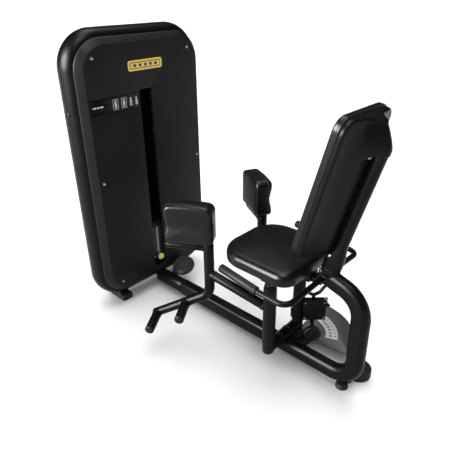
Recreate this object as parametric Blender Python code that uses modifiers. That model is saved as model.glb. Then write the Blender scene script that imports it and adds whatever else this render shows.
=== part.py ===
"""Seated hip adduction machine with a selectorised weight tower.

Metres, +Z up, +Y from the seat to the weight tower, +X to the user's right. X = 0 is the machine's
middle plane, the floor is Z = 0 and the origin is the middle of the footprint. The leg levers stand
in their start position, with the knee pads spread.
"""

import bpy
import bmesh
from math import atan2, cos, pi, radians, sin, tan
from mathutils import Matrix, Vector

GAP = 0.0003  # clearance between pieces that touch

# Weight tower
TOWER_FRONT = 0.555  # flat front face of the shield
SHIELD_HALF = 0.346
SHIELD_LOW, SHIELD_TOP = 0.110, 1.409
SHIELD_RIM = 0.032  # sloped rim, outwards and backwards
SHIELD_WALL = 0.006
SLOT_LEFT, SLOT_RIGHT, SLOT_LOW, SLOT_TOP = -0.050, 0.028, 0.150, 1.187
SURROUND_FRONT = TOWER_FRONT + 0.038
SURROUND_DEPTH = 0.140
SURROUND_THICK = 0.056
OPENING_HALF, OPENING_LOW, OPENING_TOP = 0.345, 0.093, 1.424
SURROUND_BACK = SURROUND_FRONT + SURROUND_DEPTH
TOWER_BACK = 0.779  # flat back face of the rear shield
REAR_SLOPE = 0.040

# Weight stack and cable
STACK_Y, STACK_DEPTH, STACK_HALF = 0.635, 0.110, 0.130
PLATE_PITCH, PLATES_ABOVE_PIN = 0.0146, 13
STACK_LOW, TOP_PLATE = 0.190, 0.027
ROD_X, ROD_RADIUS = 0.085, 0.0095
CABLE_RADIUS, CABLE_X, CABLE_Z, DROP_Y = 0.003, 0.040, 0.037, 0.712
TOP_PULLEY_Z, LOW_PULLEY_RADIUS = 1.300, 0.041

# Frame
BEAM_HALF_X, BEAM_HALF_Z, BEAM_Z = 0.030, 0.042, 0.066
SLEEVE_END, BEAM_END = 0.365, -0.260
PIVOT_X, PIVOT_Y = 0.119, -0.353
LOOP_REAR, BACK_LEAN = -0.738, radians(15)
BACK_FOOT = Vector((0, -0.563, 0.545))
LOOP_RISE = radians(17)
LOOP_TOP = Vector((0, -0.733, 0.492))  # where the loop's upright and its top run would meet
LOOP_END = LOOP_TOP + 0.215 * Vector((0, cos(LOOP_RISE), sin(LOOP_RISE)))

# Levers
SLEEVE_LOW, SLEEVE_TOP, SLEEVE_RADIUS, SHAFT_RADIUS = 0.1458, 0.450, 0.030, 0.016
POST_X, POST_Y, POST_TOP, POST_RADIUS = 0.196, -0.0495, 0.594, 0.0245
PAD_SPREAD = radians(30)  # how far the pads open from straight ahead, in the start position
PAD_LENGTH, PAD_THICK, PAD_LOW, PAD_HEIGHT = 0.227, 0.087, 0.599, 0.184
PEG_RADIUS = 0.0225

# Range selector
SECTOR_LOW, SECTOR_THICK, SECTOR_RADIUS = 0.052, 0.006, 0.292
SCALE_INNER, SCALE_OUTER = 0.147, 0.208
DRUM_RADIUS = PIVOT_X - CABLE_X


def clear_scene():
    for obj in list(bpy.data.objects):
        bpy.data.objects.remove(obj, do_unlink=True)


def new_collection(name):
    group = bpy.data.collections.new(name)
    bpy.context.scene.collection.children.link(group)
    return group


def material(name, colour, roughness, metallic=0.0):
    made = bpy.data.materials.new(name)
    made.use_nodes = True
    shader = made.node_tree.nodes["Principled BSDF"]
    shader.inputs["Base Color"].default_value = (*colour, 1)
    shader.inputs["Roughness"].default_value = roughness
    shader.inputs["Metallic"].default_value = metallic
    return made


clear_scene()
PARTS = new_collection("hip_adduction_machine")
CUTTERS = new_collection("cutters")
PAINT = material("black_powder_coat", (0.022, 0.022, 0.024), 0.42, 0.1)
SHELL = material("black_textured_plastic", (0.030, 0.030, 0.032), 0.55)
GLOSS = material("gloss_black_plastic", (0.008, 0.008, 0.009), 0.15)
LEATHER = material("black_synthetic_leather", (0.016, 0.016, 0.017), 0.45)
RUBBER = material("black_rubber", (0.015, 0.015, 0.015), 0.75)
STEEL = material("bright_steel", (0.62, 0.62, 0.63), 0.25, 1.0)
IRON = material("dark_cast_iron", (0.045, 0.045, 0.048), 0.5, 0.6)
YELLOW = material("yellow_plastic", (0.85, 0.62, 0.03), 0.35)
CABLE = material("black_coated_cable", (0.02, 0.02, 0.02), 0.4)


# ---- shapes -------------------------------------------------------------------------------------


def finish(name, mesh, look, smooth=True):
    """Puts a mesh in the scene as a part, or as a helper when it has no look."""
    obj = bpy.data.objects.new(name, mesh)
    if look is None:
        CUTTERS.objects.link(obj)
        obj.hide_render = True
        obj.display_type = "WIRE"
    else:
        PARTS.objects.link(obj)
        mesh.materials.clear()
        mesh.materials.append(look)
    if smooth:
        mesh.shade_smooth()
        mesh.set_sharp_from_angle(angle=radians(35))
    return obj


def box(name, low, high, look=None, turn=None):
    """A box between two corners, turned by a matrix where one is given."""
    low, high = Vector(low), Vector(high)
    shape = bmesh.new()
    bmesh.ops.create_cube(shape, size=1)
    place = Matrix.Translation((low + high) / 2) @ Matrix.Diagonal((*(high - low), 1))
    bmesh.ops.transform(shape, matrix=(turn or Matrix()) @ place, verts=shape.verts)
    mesh = bpy.data.meshes.new(name)
    shape.to_mesh(mesh)
    shape.free()
    return finish(name, mesh, look, smooth=False)


def rod(name, start, end, radius, look=None, sides=24, end_radius=None):
    """A round bar or a cone between two points."""
    start, end = Vector(start), Vector(end)
    shape = bmesh.new()
    along = end - start
    turn = along.to_track_quat("Z", "Y").to_matrix().to_4x4()
    bmesh.ops.create_cone(
        shape, cap_ends=True, segments=sides, radius1=radius,
        radius2=radius if end_radius is None else end_radius, depth=along.length,
        matrix=Matrix.Translation((start + end) / 2) @ turn)
    mesh = bpy.data.meshes.new(name)
    shape.to_mesh(mesh)
    shape.free()
    return finish(name, mesh, look)


def mesh_of_curve(name, curve_obj, look):
    """Turns a curve object into a closed mesh, its caps welded, and removes the curve."""
    graph = bpy.context.evaluated_depsgraph_get()
    mesh = bpy.data.meshes.new_from_object(curve_obj.evaluated_get(graph))
    shape = bmesh.new()
    shape.from_mesh(mesh)
    bmesh.ops.remove_doubles(shape, verts=shape.verts, dist=0.00001)
    bmesh.ops.recalc_face_normals(shape, faces=shape.faces)
    shape.to_mesh(mesh)
    shape.free()
    mesh.name = name
    place = curve_obj.matrix_world.copy()
    bpy.data.objects.remove(curve_obj, do_unlink=True)
    obj = finish(name, mesh, look)
    obj.matrix_world = place
    return obj


def curve_object(name, points, cyclic=False, dimensions="3D"):
    curve = bpy.data.curves.new(name, "CURVE")
    curve.dimensions = dimensions
    spline = curve.splines.new("POLY")
    spline.points.add(len(points) - 1)
    for slot, point in zip(spline.points, points):
        slot.co = (*point, 1) if len(point) == 3 else (*point, 0, 1)
    spline.use_cyclic_u = cyclic
    obj = bpy.data.objects.new(name, curve)
    CUTTERS.objects.link(obj)
    return obj


def rounded(corners, cyclic=False, step=radians(15)):
    """The points of a path through corners given as (point, radius), each corner an arc."""
    count = len(corners)
    points = []
    for i, (corner, radius) in enumerate(corners):
        corner = Vector(corner)
        if not cyclic and i in (0, count - 1):
            points.append(corner)
            continue
        before = (corner - Vector(corners[i - 1][0])).normalized()
        after = (Vector(corners[(i + 1) % count][0]) - corner).normalized()
        turn = before.angle(after)
        side = (after - before * before.dot(after)).normalized()
        start = corner - before * radius * tan(turn / 2)
        pieces = max(1, round(turn / step))
        for k in range(pieces + 1):
            a = turn * k / pieces
            points.append(start + before * radius * sin(a) + side * radius * (1 - cos(a)))
    return points


def tube(name, points, radius, look=None, fineness=4):
    """A round tube along points."""
    obj = curve_object(name, points)
    obj.data.bevel_depth = radius
    obj.data.bevel_resolution = fineness
    obj.data.use_fill_caps = True
    return mesh_of_curve(name, obj, look)


def section_tube(name, points, section, look=None, cyclic=False):
    """A tube along points whose section is a closed outline."""
    profile = curve_object(name + "_section", section, cyclic=True, dimensions="2D")
    obj = curve_object(name, points, cyclic=cyclic)
    obj.data.bevel_mode = "OBJECT"
    obj.data.bevel_object = profile
    obj.data.use_fill_caps = not cyclic
    made = mesh_of_curve(name, obj, look)
    bpy.data.objects.remove(profile, do_unlink=True)
    return made


def slab(name, outline, low, high, look=None, axis="Z", chamfer=0.0):
    """A flat outline given thickness along Z, or along Y when axis is Y (outline in X and Z)."""
    obj = curve_object(name, outline, cyclic=True, dimensions="2D")
    obj.data.fill_mode = "BOTH"
    obj.data.extrude = (high - low) / 2 - chamfer
    obj.data.bevel_depth = chamfer
    obj.data.bevel_resolution = 0
    obj.data.offset = -chamfer
    if axis == "Z":
        obj.matrix_world = Matrix.Translation((0, 0, (low + high) / 2))
    else:
        obj.matrix_world = Matrix.Translation((0, (low + high) / 2, 0)) @ Matrix.Rotation(
            pi / 2, 4, "X")
    bpy.context.view_layer.update()
    return mesh_of_curve(name, obj, look)


def join(obj, helper, operation):
    change = obj.modifiers.new(operation.lower(), "BOOLEAN")
    change.operation = operation
    change.object = helper
    change.solver = "EXACT"


def weld(obj, *helpers):
    for helper in helpers:
        join(obj, helper, "UNION")
    return obj


def cut(obj, *helpers):
    for helper in helpers:
        join(obj, helper, "DIFFERENCE")
    return obj


def soften(obj, width, segments=2, angle=radians(40)):
    bevel = obj.modifiers.new("soft_edges", "BEVEL")
    bevel.width = width
    bevel.segments = segments
    bevel.limit_method = "ANGLE"
    bevel.angle_limit = angle
    bevel.harden_normals = False
    return obj


def rectangle(half_x, low, high, radius, step=radians(15)):
    """A rectangle with round corners, symmetric about X = 0."""
    corners = [((-half_x, low), radius), ((half_x, low), radius),
               ((half_x, high), radius), ((-half_x, high), radius)]
    return rounded([((*p, 0), r) for p, r in corners], cyclic=True, step=step)


def flat_oval(half_x, half_y, step=radians(22.5)):
    """A section with two flat sides and half-round ends."""
    return [p.xy for p in rectangle(half_x, -half_y, half_y, half_x - 0.0005, step)]


def turned(name, profile, look, centre, axis=(0, 0, 1), steps=24):
    """A solid turned about an axis from (radius, height) pairs that run top to bottom."""
    curve = curve_object(name, [(r, 0, h) for r, h in profile])
    graph = bpy.context.evaluated_depsgraph_get()
    mesh = bpy.data.meshes.new_from_object(curve.evaluated_get(graph))
    bpy.data.objects.remove(curve, do_unlink=True)
    obj = finish(name, mesh, look)
    spin = obj.modifiers.new("turn", "SCREW")
    spin.steps = spin.render_steps = steps
    spin.use_merge_vertices = True
    spin.merge_threshold = 0.00005
    turn = Vector(axis).to_track_quat("Z", "Y").to_matrix().to_4x4()
    obj.matrix_world = Matrix.Translation(centre) @ turn
    return obj


# ---- weight tower -------------------------------------------------------------------------------


def dished_cover(name, half, low, high, face, slope, depth, behind=False):
    """A hollow cover with a flat face and a sloped rim, its open side towards the tower's middle."""
    way = -1 if behind else 1

    def layer(inset, start, end, label, look):
        ends = sorted((face + way * start, face + way * end))
        return slab(label, rectangle(half - inset, low + inset, high - inset, 0.150 - inset, radians(11.25)),
                    *ends, look, axis="Y", chamfer=slope)

    cover = layer(0, 0, 2 * depth, name, SHELL)
    hollow = layer(SHIELD_WALL, SHIELD_WALL, 2 * depth + 0.02, name + "_hollow", None)
    ends = sorted((face + way * depth, face + way * 0.2))
    return cut(cover, hollow, box(name + "_far_half", (-0.5, ends[0], -0.1), (0.5, ends[1], 1.6)))


def opening(inset):
    """The outline of the surround's opening, drawn in by an inset: X, Z and 0."""
    half, low, top = OPENING_HALF - inset, OPENING_LOW + inset, OPENING_TOP - inset
    return rounded([((-half, low, 0), 0.115 - inset), ((half, low, 0), 0.115 - inset),
                    ((half, top, 0), 0.125 - inset), ((-half, top, 0), 0.125 - inset)],
                   cyclic=True, step=radians(11.25))


def tower_casing():
    half_depth = SURROUND_DEPTH / 2
    middle = SURROUND_FRONT + half_depth
    bulge = [(-half_depth * cos(a), SURROUND_THICK * sin(a))
             for a in (pi * k / 10 for k in range(11))]
    path = [Vector((x, 0, z)) for x, z, _ in opening(0)]
    surround = section_tube("tower_surround", path, bulge, PAINT, cyclic=True)
    surround.location.y = middle
    low_pulley_y, low_pulley_z = DROP_Y - LOW_PULLEY_RADIUS, CABLE_Z + LOW_PULLEY_RADIUS
    cut(surround,
        box("cable_slot", (CABLE_X - 0.008, SURROUND_FRONT - 0.01, -0.01),
            (CABLE_X + 0.008, DROP_Y + 0.008, 0.20)),
        *(box("foot_seat", (x - 0.035, middle - 0.06, 0.0), (x + 0.035, middle + 0.06, 0.0503))
          for x in (-0.246, 0.246)))
    weld(surround,
         rod("low_pulley_axle", (CABLE_X - 0.018, low_pulley_y, low_pulley_z),
             (CABLE_X + 0.018, low_pulley_y, low_pulley_z), 0.005, sides=16))
    for x in (CABLE_X - 0.016, CABLE_X + 0.010):
        weld(surround, box("axle_cheek", (x, low_pulley_y - 0.012, OPENING_LOW - 0.010),
                           (x + 0.006, low_pulley_y + 0.012, low_pulley_z + 0.012)))

    shield = dished_cover("front_shield", SHIELD_HALF + SHIELD_RIM, SHIELD_LOW - SHIELD_RIM,
                          SHIELD_TOP + SHIELD_RIM, TOWER_FRONT, SHIELD_RIM, 0.035)
    cut(shield,
        box("pin_slot", (SLOT_LEFT, TOWER_FRONT - 0.1, SLOT_LOW), (SLOT_RIGHT, TOWER_FRONT + 0.1, SLOT_TOP)),
        box("placard_recess", (-0.349, TOWER_FRONT - 0.01, 1.098), (SLOT_LEFT - 0.004, TOWER_FRONT + 0.003, 1.178)),
        rod("sleeve_room", (0, TOWER_FRONT - 0.1, 0.060), (0, TOWER_FRONT + 0.1, 0.060), 0.056, sides=32))
    box("placard", (-0.340, TOWER_FRONT + 0.003 - 0.0018, 1.101),
        (SLOT_LEFT - 0.007, TOWER_FRONT + 0.003 - GAP, 1.175), GLOSS)
    slab("badge", rectangle(0.105, -0.026, 0.026, 0.012, radians(30)), TOWER_FRONT - 0.0025,
         TOWER_FRONT - GAP, YELLOW, axis="Y").location.z += 1.302

    rear = dished_cover("rear_shield", 0.325, 0.150, 1.395, TOWER_BACK, REAR_SLOPE, 0.043, behind=True)
    flange = slab("rear_flange", opening(GAP), SURROUND_BACK - 0.006, TOWER_BACK - 0.0425, None, axis="Y")
    weld(rear, cut(flange, slab("rear_flange_hole", rectangle(0.315, 0.160, 1.385, 0.140, radians(11.25)),
                                SURROUND_BACK - 0.02, TOWER_BACK, None, axis="Y")))
    for side, label in ((-1, "left"), (1, "right")):
        x = sorted((side * 0.277, side * 0.215))
        foot = box(f"tower_foot_{label}", (x[0], 0.588, 0), (x[1], 0.745, 0.0345), RUBBER)
        weld(foot, box("foot_saddle", (x[0] + 0.004, middle - 0.038, 0.030), (x[1] - 0.004, middle + 0.038, 0.050)))
        soften(foot, 0.005)


def weight_stack():
    def guide_holes(radius):
        return [rod("guide_hole", (s * ROD_X, STACK_Y, 0), (s * ROD_X, STACK_Y, 1.5), radius, sides=12)
                for s in (-1, 1)]

    front, back = STACK_Y - STACK_DEPTH / 2, STACK_Y + STACK_DEPTH / 2
    centre_hole = rod("rod_hole", (0, STACK_Y, 0.05), (0, STACK_Y, 1.0), 0.0095, sides=12)

    def plate(name, low, high, look):
        obj = box(name, (-STACK_HALF, front, low), (STACK_HALF, back, high), look)
        return cut(obj, *guide_holes(ROD_RADIUS + 0.0015), centre_hole)

    pin_z = STACK_LOW + PLATE_PITCH / 2
    pin_hole = rod("pin_hole", (0, front - 0.02, pin_z), (0, STACK_Y + 0.03, pin_z), 0.0048, sides=12)
    cut(plate("weight_plate_pinned", STACK_LOW, STACK_LOW + PLATE_PITCH - GAP, IRON), pin_hole)
    upper_low = STACK_LOW + PLATE_PITCH
    upper_high = upper_low + PLATES_ABOVE_PIN * PLATE_PITCH - GAP
    upper = plate("weight_plates_upper", upper_low, upper_high, IRON)
    for k in range(1, PLATES_ABOVE_PIN):
        z = upper_low + k * PLATE_PITCH
        cut(upper, box("plate_gap", (-0.2, front - 0.02, z - 0.0011), (0.2, front + 0.004, z + 0.0003)))
    top_low = upper_high + GAP
    top_high = top_low + TOP_PLATE
    plate("stack_top_plate", top_low, top_high, PAINT)
    selector_rod = rod("selector_rod", (0, STACK_Y, STACK_LOW + 0.001), (0, STACK_Y, top_high + 0.018), 0.008,
                       STEEL, sides=16)
    cut(selector_rod, pin_hole)
    rod("selector_pin", (0, front - 0.012, pin_z), (0, STACK_Y + 0.022, pin_z), 0.0042, STEEL, sides=12)
    turned("selector_knob", [(0, 0.022), (0.012, 0.020), (0.0185, 0.013), (0.0195, 0.006), (0.016, 0.0),
                             (0, 0.0)], YELLOW, (0, front - 0.012 - GAP, pin_z), axis=(0, -1, 0), steps=20)

    base_high = 0.122
    base = box("stack_base", (-0.150, 0.597, OPENING_LOW + GAP), (0.150, 0.700, base_high), PAINT)
    cut(base, box("base_slot", (CABLE_X - 0.0185, 0.622, 0), (CABLE_X + 0.0185, 0.8, 0.2)))
    for side, label in ((-1, "left"), (1, "right")):
        x = side * ROD_X
        rod(f"guide_rod_{label}", (x, STACK_Y, base_high + GAP), (x, STACK_Y, 1.3750 - GAP), ROD_RADIUS, STEEL,
            sides=16)
        turned(f"stack_bumper_{label}",
               [(ROD_RADIUS + 0.0012, 0.067), (0.022, 0.067), (0.024, 0.061), (0.024, 0.006), (0.022, 0),
                (ROD_RADIUS + 0.0012, 0), (ROD_RADIUS + 0.0012, 0.067)], RUBBER,
               (x, STACK_Y, base_high + GAP), steps=16)


def tower_cable():
    """The cable runs from the stack over the top pulley, down behind it and out along the beam."""
    stack_point, drop_point = Vector((0, STACK_Y, 0)), Vector((CABLE_X, DROP_Y, 0))
    across = drop_point - stack_point
    radius = across.length / 2
    forward = across.normalized()
    centre = (stack_point + drop_point) / 2 + Vector((0, 0, TOP_PULLEY_Z))
    axis = Vector((forward.y, -forward.x, 0))

    def pulley(name, at, spin, groove):
        edge = groove + 0.006
        return turned(name, [(0.0055, 0.006), (edge, 0.006), (groove - CABLE_RADIUS - 0.0018, 0.0038),
                             (groove - CABLE_RADIUS - 0.0018, -0.0038), (edge, -0.006), (0.0055, -0.006),
                             (0.0055, 0.006)], RUBBER, at, axis=spin, steps=28)

    pulley("top_pulley", centre, axis, radius)
    low_centre = Vector((CABLE_X, DROP_Y - LOW_PULLEY_RADIUS, CABLE_Z + LOW_PULLEY_RADIUS))
    pulley("low_pulley", low_centre, (1, 0, 0), LOW_PULLEY_RADIUS)

    turn = Matrix.Translation(centre) @ Matrix.Rotation(atan2(axis.y, axis.x), 4, "Z")
    top = 1.380 - centre.z
    beam = box("top_beam", (-0.200, 0.598, 1.375), (0.200, 0.720, OPENING_TOP - GAP), PAINT)
    for x in (-0.0115, 0.0085):
        weld(beam, box("cheek", (x, -0.016, -0.018), (x + 0.003, 0.016, top), None, turn))
    weld(beam, rod("axle", turn @ Vector((-0.0095, 0, 0)), turn @ Vector((0.0095, 0, 0)), 0.005, sides=12))

    stack_top = STACK_LOW + (PLATES_ABOVE_PIN + 1) * PLATE_PITCH + TOP_PLATE + 0.018
    rod("stack_cable", (0, STACK_Y, stack_top + GAP), (0, STACK_Y, TOP_PULLEY_Z - 0.0015), CABLE_RADIUS, CABLE,
        sides=8)
    arc = [centre - forward * radius * cos(a) + Vector((0, 0, radius * sin(a)))
           for a in (pi * k / 8 for k in range(9))]
    turn_low = [low_centre + Vector((0, LOW_PULLEY_RADIUS * cos(a), -LOW_PULLEY_RADIUS * sin(a)))
                for a in (pi / 2 * k / 4 for k in range(5))]
    tube("drive_cable", [*arc, *turn_low, Vector((CABLE_X, PIVOT_Y + 0.004, CABLE_Z))], CABLE_RADIUS, CABLE,
         fineness=2)


# ---- frame --------------------------------------------------------------------------------------


def beam_pieces():
    """The front sleeve and the straight beam: flat-oval tubes, open inside."""
    section = flat_oval(BEAM_HALF_X, BEAM_HALF_Z)
    bore = flat_oval(BEAM_HALF_X - 0.004, BEAM_HALF_Z - 0.004)

    def straight(name, start, end, outline, look):
        made = slab(name, [(*p, 0) for p in outline], start, end, look, axis="Y")
        made.location.z += BEAM_Z
        return made

    beam = straight("main_beam", BEAM_END, SLEEVE_END - GAP, section, PAINT)
    cut(beam, straight("beam_bore", BEAM_END - 0.01, SLEEVE_END + 0.01, bore, None))
    sleeve = straight("beam_sleeve", SLEEVE_END, SURROUND_FRONT - 0.012,
                      flat_oval(BEAM_HALF_X + 0.002, BEAM_HALF_Z + 0.002), PAINT)
    cut(sleeve, straight("sleeve_bore", SLEEVE_END - 0.01, SURROUND_FRONT, bore, None))


def rear_frame():
    """One weldment: the rear loop, the back socket, the cross tube and the two pivot housings."""
    section = flat_oval(BEAM_HALF_X, BEAM_HALF_Z)
    path = rounded([
        (Vector((0, BEAM_END - GAP, BEAM_Z)), 0),
        (Vector((0, LOOP_REAR, BEAM_Z)), 0.105),
        (LOOP_TOP, 0.130),
        (LOOP_END, 0)], step=radians(12))
    frame = section_tube("rear_frame", path, section, PAINT)
    lean = Vector((0, -sin(BACK_LEAN), cos(BACK_LEAN)))
    socket = section_tube("back_socket", [BACK_FOOT, BACK_FOOT + lean * 0.048], section)
    cross_tube = rod("cross_tube", (-PIVOT_X, PIVOT_Y, 0.111), (PIVOT_X, PIVOT_Y, 0.111), 0.029)
    weld(frame, socket, cross_tube)
    for side in (-1, 1):
        weld(frame, rod("pivot_housing", (side * PIVOT_X, PIVOT_Y, 0.086), (side * PIVOT_X, PIVOT_Y, 0.1455),
                        0.0275))
    for side in (-1, 1):
        cut(frame, rod("housing_bore", (side * PIVOT_X, PIVOT_Y, 0.05), (side * PIVOT_X, PIVOT_Y, 0.2),
                       SHAFT_RADIUS + 0.0005))
    foot_y, foot_top = -0.690, 0.029
    turned("rear_foot", [(0, foot_top), (0.0265, foot_top), (0.0275, 0.0), (0, 0.0)], RUBBER, (0, foot_y, 0))
    cut(frame, rod("foot_flat", (0, foot_y, 0), (0, foot_y, foot_top + GAP), 0.040))

    puck = Vector((0.118, -0.708, 0))
    weld(frame, box("outrigger", (0.005, puck.y - 0.018, 0.034), (puck.x, puck.y + 0.018, 0.046)))
    cut(frame, rod("disc_room", puck - Vector((0, 0, 0.01)), puck + Vector((0, 0, 0.1)), 0.0590, sides=32))
    turned("stabiliser_foot", [(0, 0.050), (0.050, 0.050), (0.058, 0.042), (0.058, 0.006), (0.054, 0.0), (0, 0.0)],
           RUBBER, puck, steps=32)


def seat():
    """The bolted carrier under the seat and the cushion on it."""
    low, high = 0.4955, 0.5345
    carrier = box("seat_frame", (-0.150, PIVOT_Y - 0.040, low), (0.150, PIVOT_Y + 0.040, 0.520), PAINT)
    weld(carrier, box("seat_rail", (-0.035, -0.495, low + 0.001), (0.035, -0.140, high)))
    weld(carrier, box("seat_neck", (-0.022, -0.545, low + 0.002), (0.022, -0.480, high - 0.010)))
    for y in (PIVOT_Y + 0.020, -0.180):
        weld(carrier, box("seat_bearer", (-0.130, y, 0.515), (0.130, y + 0.030, high)))
    for side in (-1, 1):
        weld(carrier, rod("pivot_cap", (side * PIVOT_X, PIVOT_Y, 0.4745), (side * PIVOT_X, PIVOT_Y, 0.500), 0.026))
    cut(carrier, box("loop_room", (-0.1, -0.2, -0.1), (0.1, GAP, 0.1), None,
                     Matrix.Translation(LOOP_END) @ Matrix.Rotation(LOOP_RISE, 4, "X")))
    outline = rounded([((-0.205, -0.495, 0), 0.07), ((0.205, -0.495, 0), 0.07), ((0.200, -0.090, 0), 0.14),
                       ((-0.200, -0.090, 0), 0.14)], cyclic=True, step=radians(18))
    slab("seat_cushion", outline, high + GAP, 0.5985, LEATHER, chamfer=0.016)


def backrest():
    """The back tube on its socket, the moulded shell with the hood over the tube's end, and the cushion."""
    lean = Matrix.Translation(BACK_FOOT) @ Matrix.Rotation(BACK_LEAN, 4, "X")

    def on_axis(z, y=0.0):
        return lean @ Vector((0, y, z))

    def panel(name, back, front, half, low, high, look, chamfer=0.0):
        outline = rounded([((-half, low, 0), 0.060), ((half, low, 0), 0.060),
                           ((half, high, 0), 0.055), ((-half, high, 0), 0.055)], cyclic=True, step=radians(18))
        made = slab(name, outline, back, front, look, axis="Y", chamfer=chamfer)
        made.matrix_world = lean @ made.matrix_world
        return made

    tube_radius, tube_y, tube_top, hood_low, hood_top = 0.025, -0.004, 0.610, 0.587, 0.632
    back_tube = rod("back_tube", on_axis(0.10, tube_y), on_axis(tube_top, tube_y), tube_radius, PAINT, sides=28)
    weld(back_tube, section_tube("back_tube_foot", [on_axis(0.048 + GAP), on_axis(0.148)],
                                 flat_oval(BEAM_HALF_X, BEAM_HALF_Z)))
    foot_room = section_tube("foot_room", [on_axis(0.03), on_axis(0.150)],
                             flat_oval(BEAM_HALF_X + GAP, BEAM_HALF_Z + GAP))

    ridge, rim, front, half = tube_y + tube_radius + 0.0006, 0.076, 0.100, 0.172
    section = [(-half, front), (-half, rim), (-0.130, rim - 0.004), (-0.065, ridge + 0.018), (-0.022, ridge),
               (0.022, ridge), (0.065, ridge + 0.018), (0.130, rim - 0.004), (half, rim), (half, front)]
    shell = slab("back_shell", [(*p, 0) for p in section], 0.103, 0.704, SHELL)
    shell.matrix_world = lean @ shell.matrix_world
    join(shell, panel("shell_outline", 0, 0.1, half - 0.0005, 0.1035, 0.7035, None), "INTERSECT")
    weld(shell,
         rod("hood", on_axis(hood_low, tube_y), on_axis(hood_top - 0.015, tube_y), tube_radius + 0.003, sides=28),
         rod("hood_end", on_axis(hood_top - 0.016, tube_y), on_axis(hood_top + 0.036, 0.030), tube_radius + 0.0028,
             end_radius=0.012, sides=28),
         box("hood_root", (-0.0265, 0.006, hood_low + 0.001), (0.0265, 0.070, hood_top - 0.018), None, lean))
    cut(shell, rod("tube_room", on_axis(0.3, tube_y), on_axis(tube_top + GAP, tube_y), tube_radius + GAP, sides=28),
        foot_room)
    panel("back_cushion", front + GAP, 0.131, 0.170, 0.108, 0.709, LEATHER, chamfer=0.010)


def handlebars():
    for side, label in ((-1, "left"), (1, "right")):
        root = Vector((side * (BEAM_HALF_X + 0.0012), -0.556, 0.546))
        corner = Vector((side * 0.279, -0.550, 0.531))
        grip_start = Vector((side * 0.279, -0.415, 0.537))
        grip_end = Vector((side * 0.279, -0.212, 0.567))
        tube(f"handlebar_{label}", rounded([(root, 0), (corner, 0.045), (grip_start, 0.2), (grip_end, 0)]),
             0.0125, PAINT)
        along = (grip_end - grip_start).normalized()
        grip = rod(f"grip_{label}", grip_start + along * 0.012, grip_end + along * 0.008, 0.0185, RUBBER, sides=20)
        cut(grip, rod("grip_bore", grip_start, grip_end + along * 0.0005, 0.0130, sides=20))


def beam_cover():
    """The round cover beside the beam, in front of the tower."""
    centre = Vector((0.107, 0.484, 0.115))
    tilt = Vector((-0.40, -0.10, 0.93)).normalized()
    cover = turned("pulley_cover", [(0, 0.012), (0.058, 0.012), (0.066, 0.006), (0.067, -0.012), (0, -0.012)],
                   SHELL, centre, axis=tilt, steps=32)
    weld(cover, box("cover_bracket", (BEAM_HALF_X + 0.002 + GAP, 0.460, 0.084), (0.110, 0.510, 0.100)))


# ---- levers -------------------------------------------------------------------------------------


def lever(side, label):
    """One leg lever: the pivot sleeve with its arm, the leg post, the foot pegs and the knee pad."""
    def at(x, y, z):
        return Vector((side * x, y, z))

    pivot, post = at(PIVOT_X, PIVOT_Y, 0), at(POST_X, POST_Y, 0)
    up = Vector((0, 0, 1))
    post_cutter = rod("post_room", post + up * 0.3, post + up * 0.7, POST_RADIUS + GAP)

    arm = rod(f"{label}_lever_arm", pivot + up * SLEEVE_LOW, pivot + up * SLEEVE_TOP, SLEEVE_RADIUS, PAINT)
    weld(arm, rod("arm", pivot + up * 0.335, post + up * 0.434, 0.0225, sides=20))
    cut(arm, rod("shaft_bore", pivot, pivot + up * 0.6, SHAFT_RADIUS + 0.0005), post_cutter)

    shaft_low = 0.0262 if side > 0 else 0.090
    rod(f"{label}_pivot_shaft", pivot + up * shaft_low, pivot + up * (0.4745 - GAP), SHAFT_RADIUS, STEEL)

    elbow, foot = at(POST_X, POST_Y, 0.318), at(0.346, 0.203, 0.158)
    along = (foot - elbow).normalized()
    step_down = elbow + along * 0.125
    leg = tube(f"{label}_leg_post",
               rounded([(post + up * POST_TOP, 0), (elbow, 0.075), (step_down, 0)], step=radians(12)),
               POST_RADIUS, PAINT)
    weld(leg, rod("foot_bar", elbow + along * 0.10, foot, PEG_RADIUS, sides=20))

    out = at(0.836, -0.548, 0)
    weld(leg, rod("front_peg", foot - along * 0.020, foot - along * 0.020 + out * 0.150, PEG_RADIUS, sides=20))
    base = elbow + along * 0.140
    peg = rod(f"{label}_rear_peg", base + out * 0.008, base + out * 0.150, PEG_RADIUS, PAINT, sides=20)
    soften(peg, 0.003, 1)
    cut(peg, rod("bar_room", elbow + along * 0.05, foot + along * 0.05, PEG_RADIUS + GAP, sides=20),
        tube("bend_room", rounded([(post + up * POST_TOP, 0), (elbow, 0.075), (step_down, 0)], step=radians(12)),
             POST_RADIUS + GAP))

    forward = at(sin(PAD_SPREAD), cos(PAD_SPREAD), 0)
    turn = Matrix.Translation(post) @ Matrix.Rotation(-side * PAD_SPREAD, 4, "Z")
    bar_z = 0.572
    bracket = rod(f"{label}_pad_bracket", post + up * bar_z, post + forward * 0.204 + up * bar_z, 0.019, PAINT,
                  sides=20)
    weld(bracket, box("pad_plate", (-0.020, 0.050, bar_z + 0.010), (0.020, 0.190, PAD_LOW - GAP), None, turn))
    cut(bracket, post_cutter)
    pad = box(f"{label}_knee_pad", (-PAD_THICK / 2, -0.030, PAD_LOW),
              (PAD_THICK / 2, PAD_LENGTH - 0.030, PAD_LOW + PAD_HEIGHT), LEATHER)
    pad.data.transform(turn)
    soften(pad, 0.022, 2)


# ---- range selector -----------------------------------------------------------------------------


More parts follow.
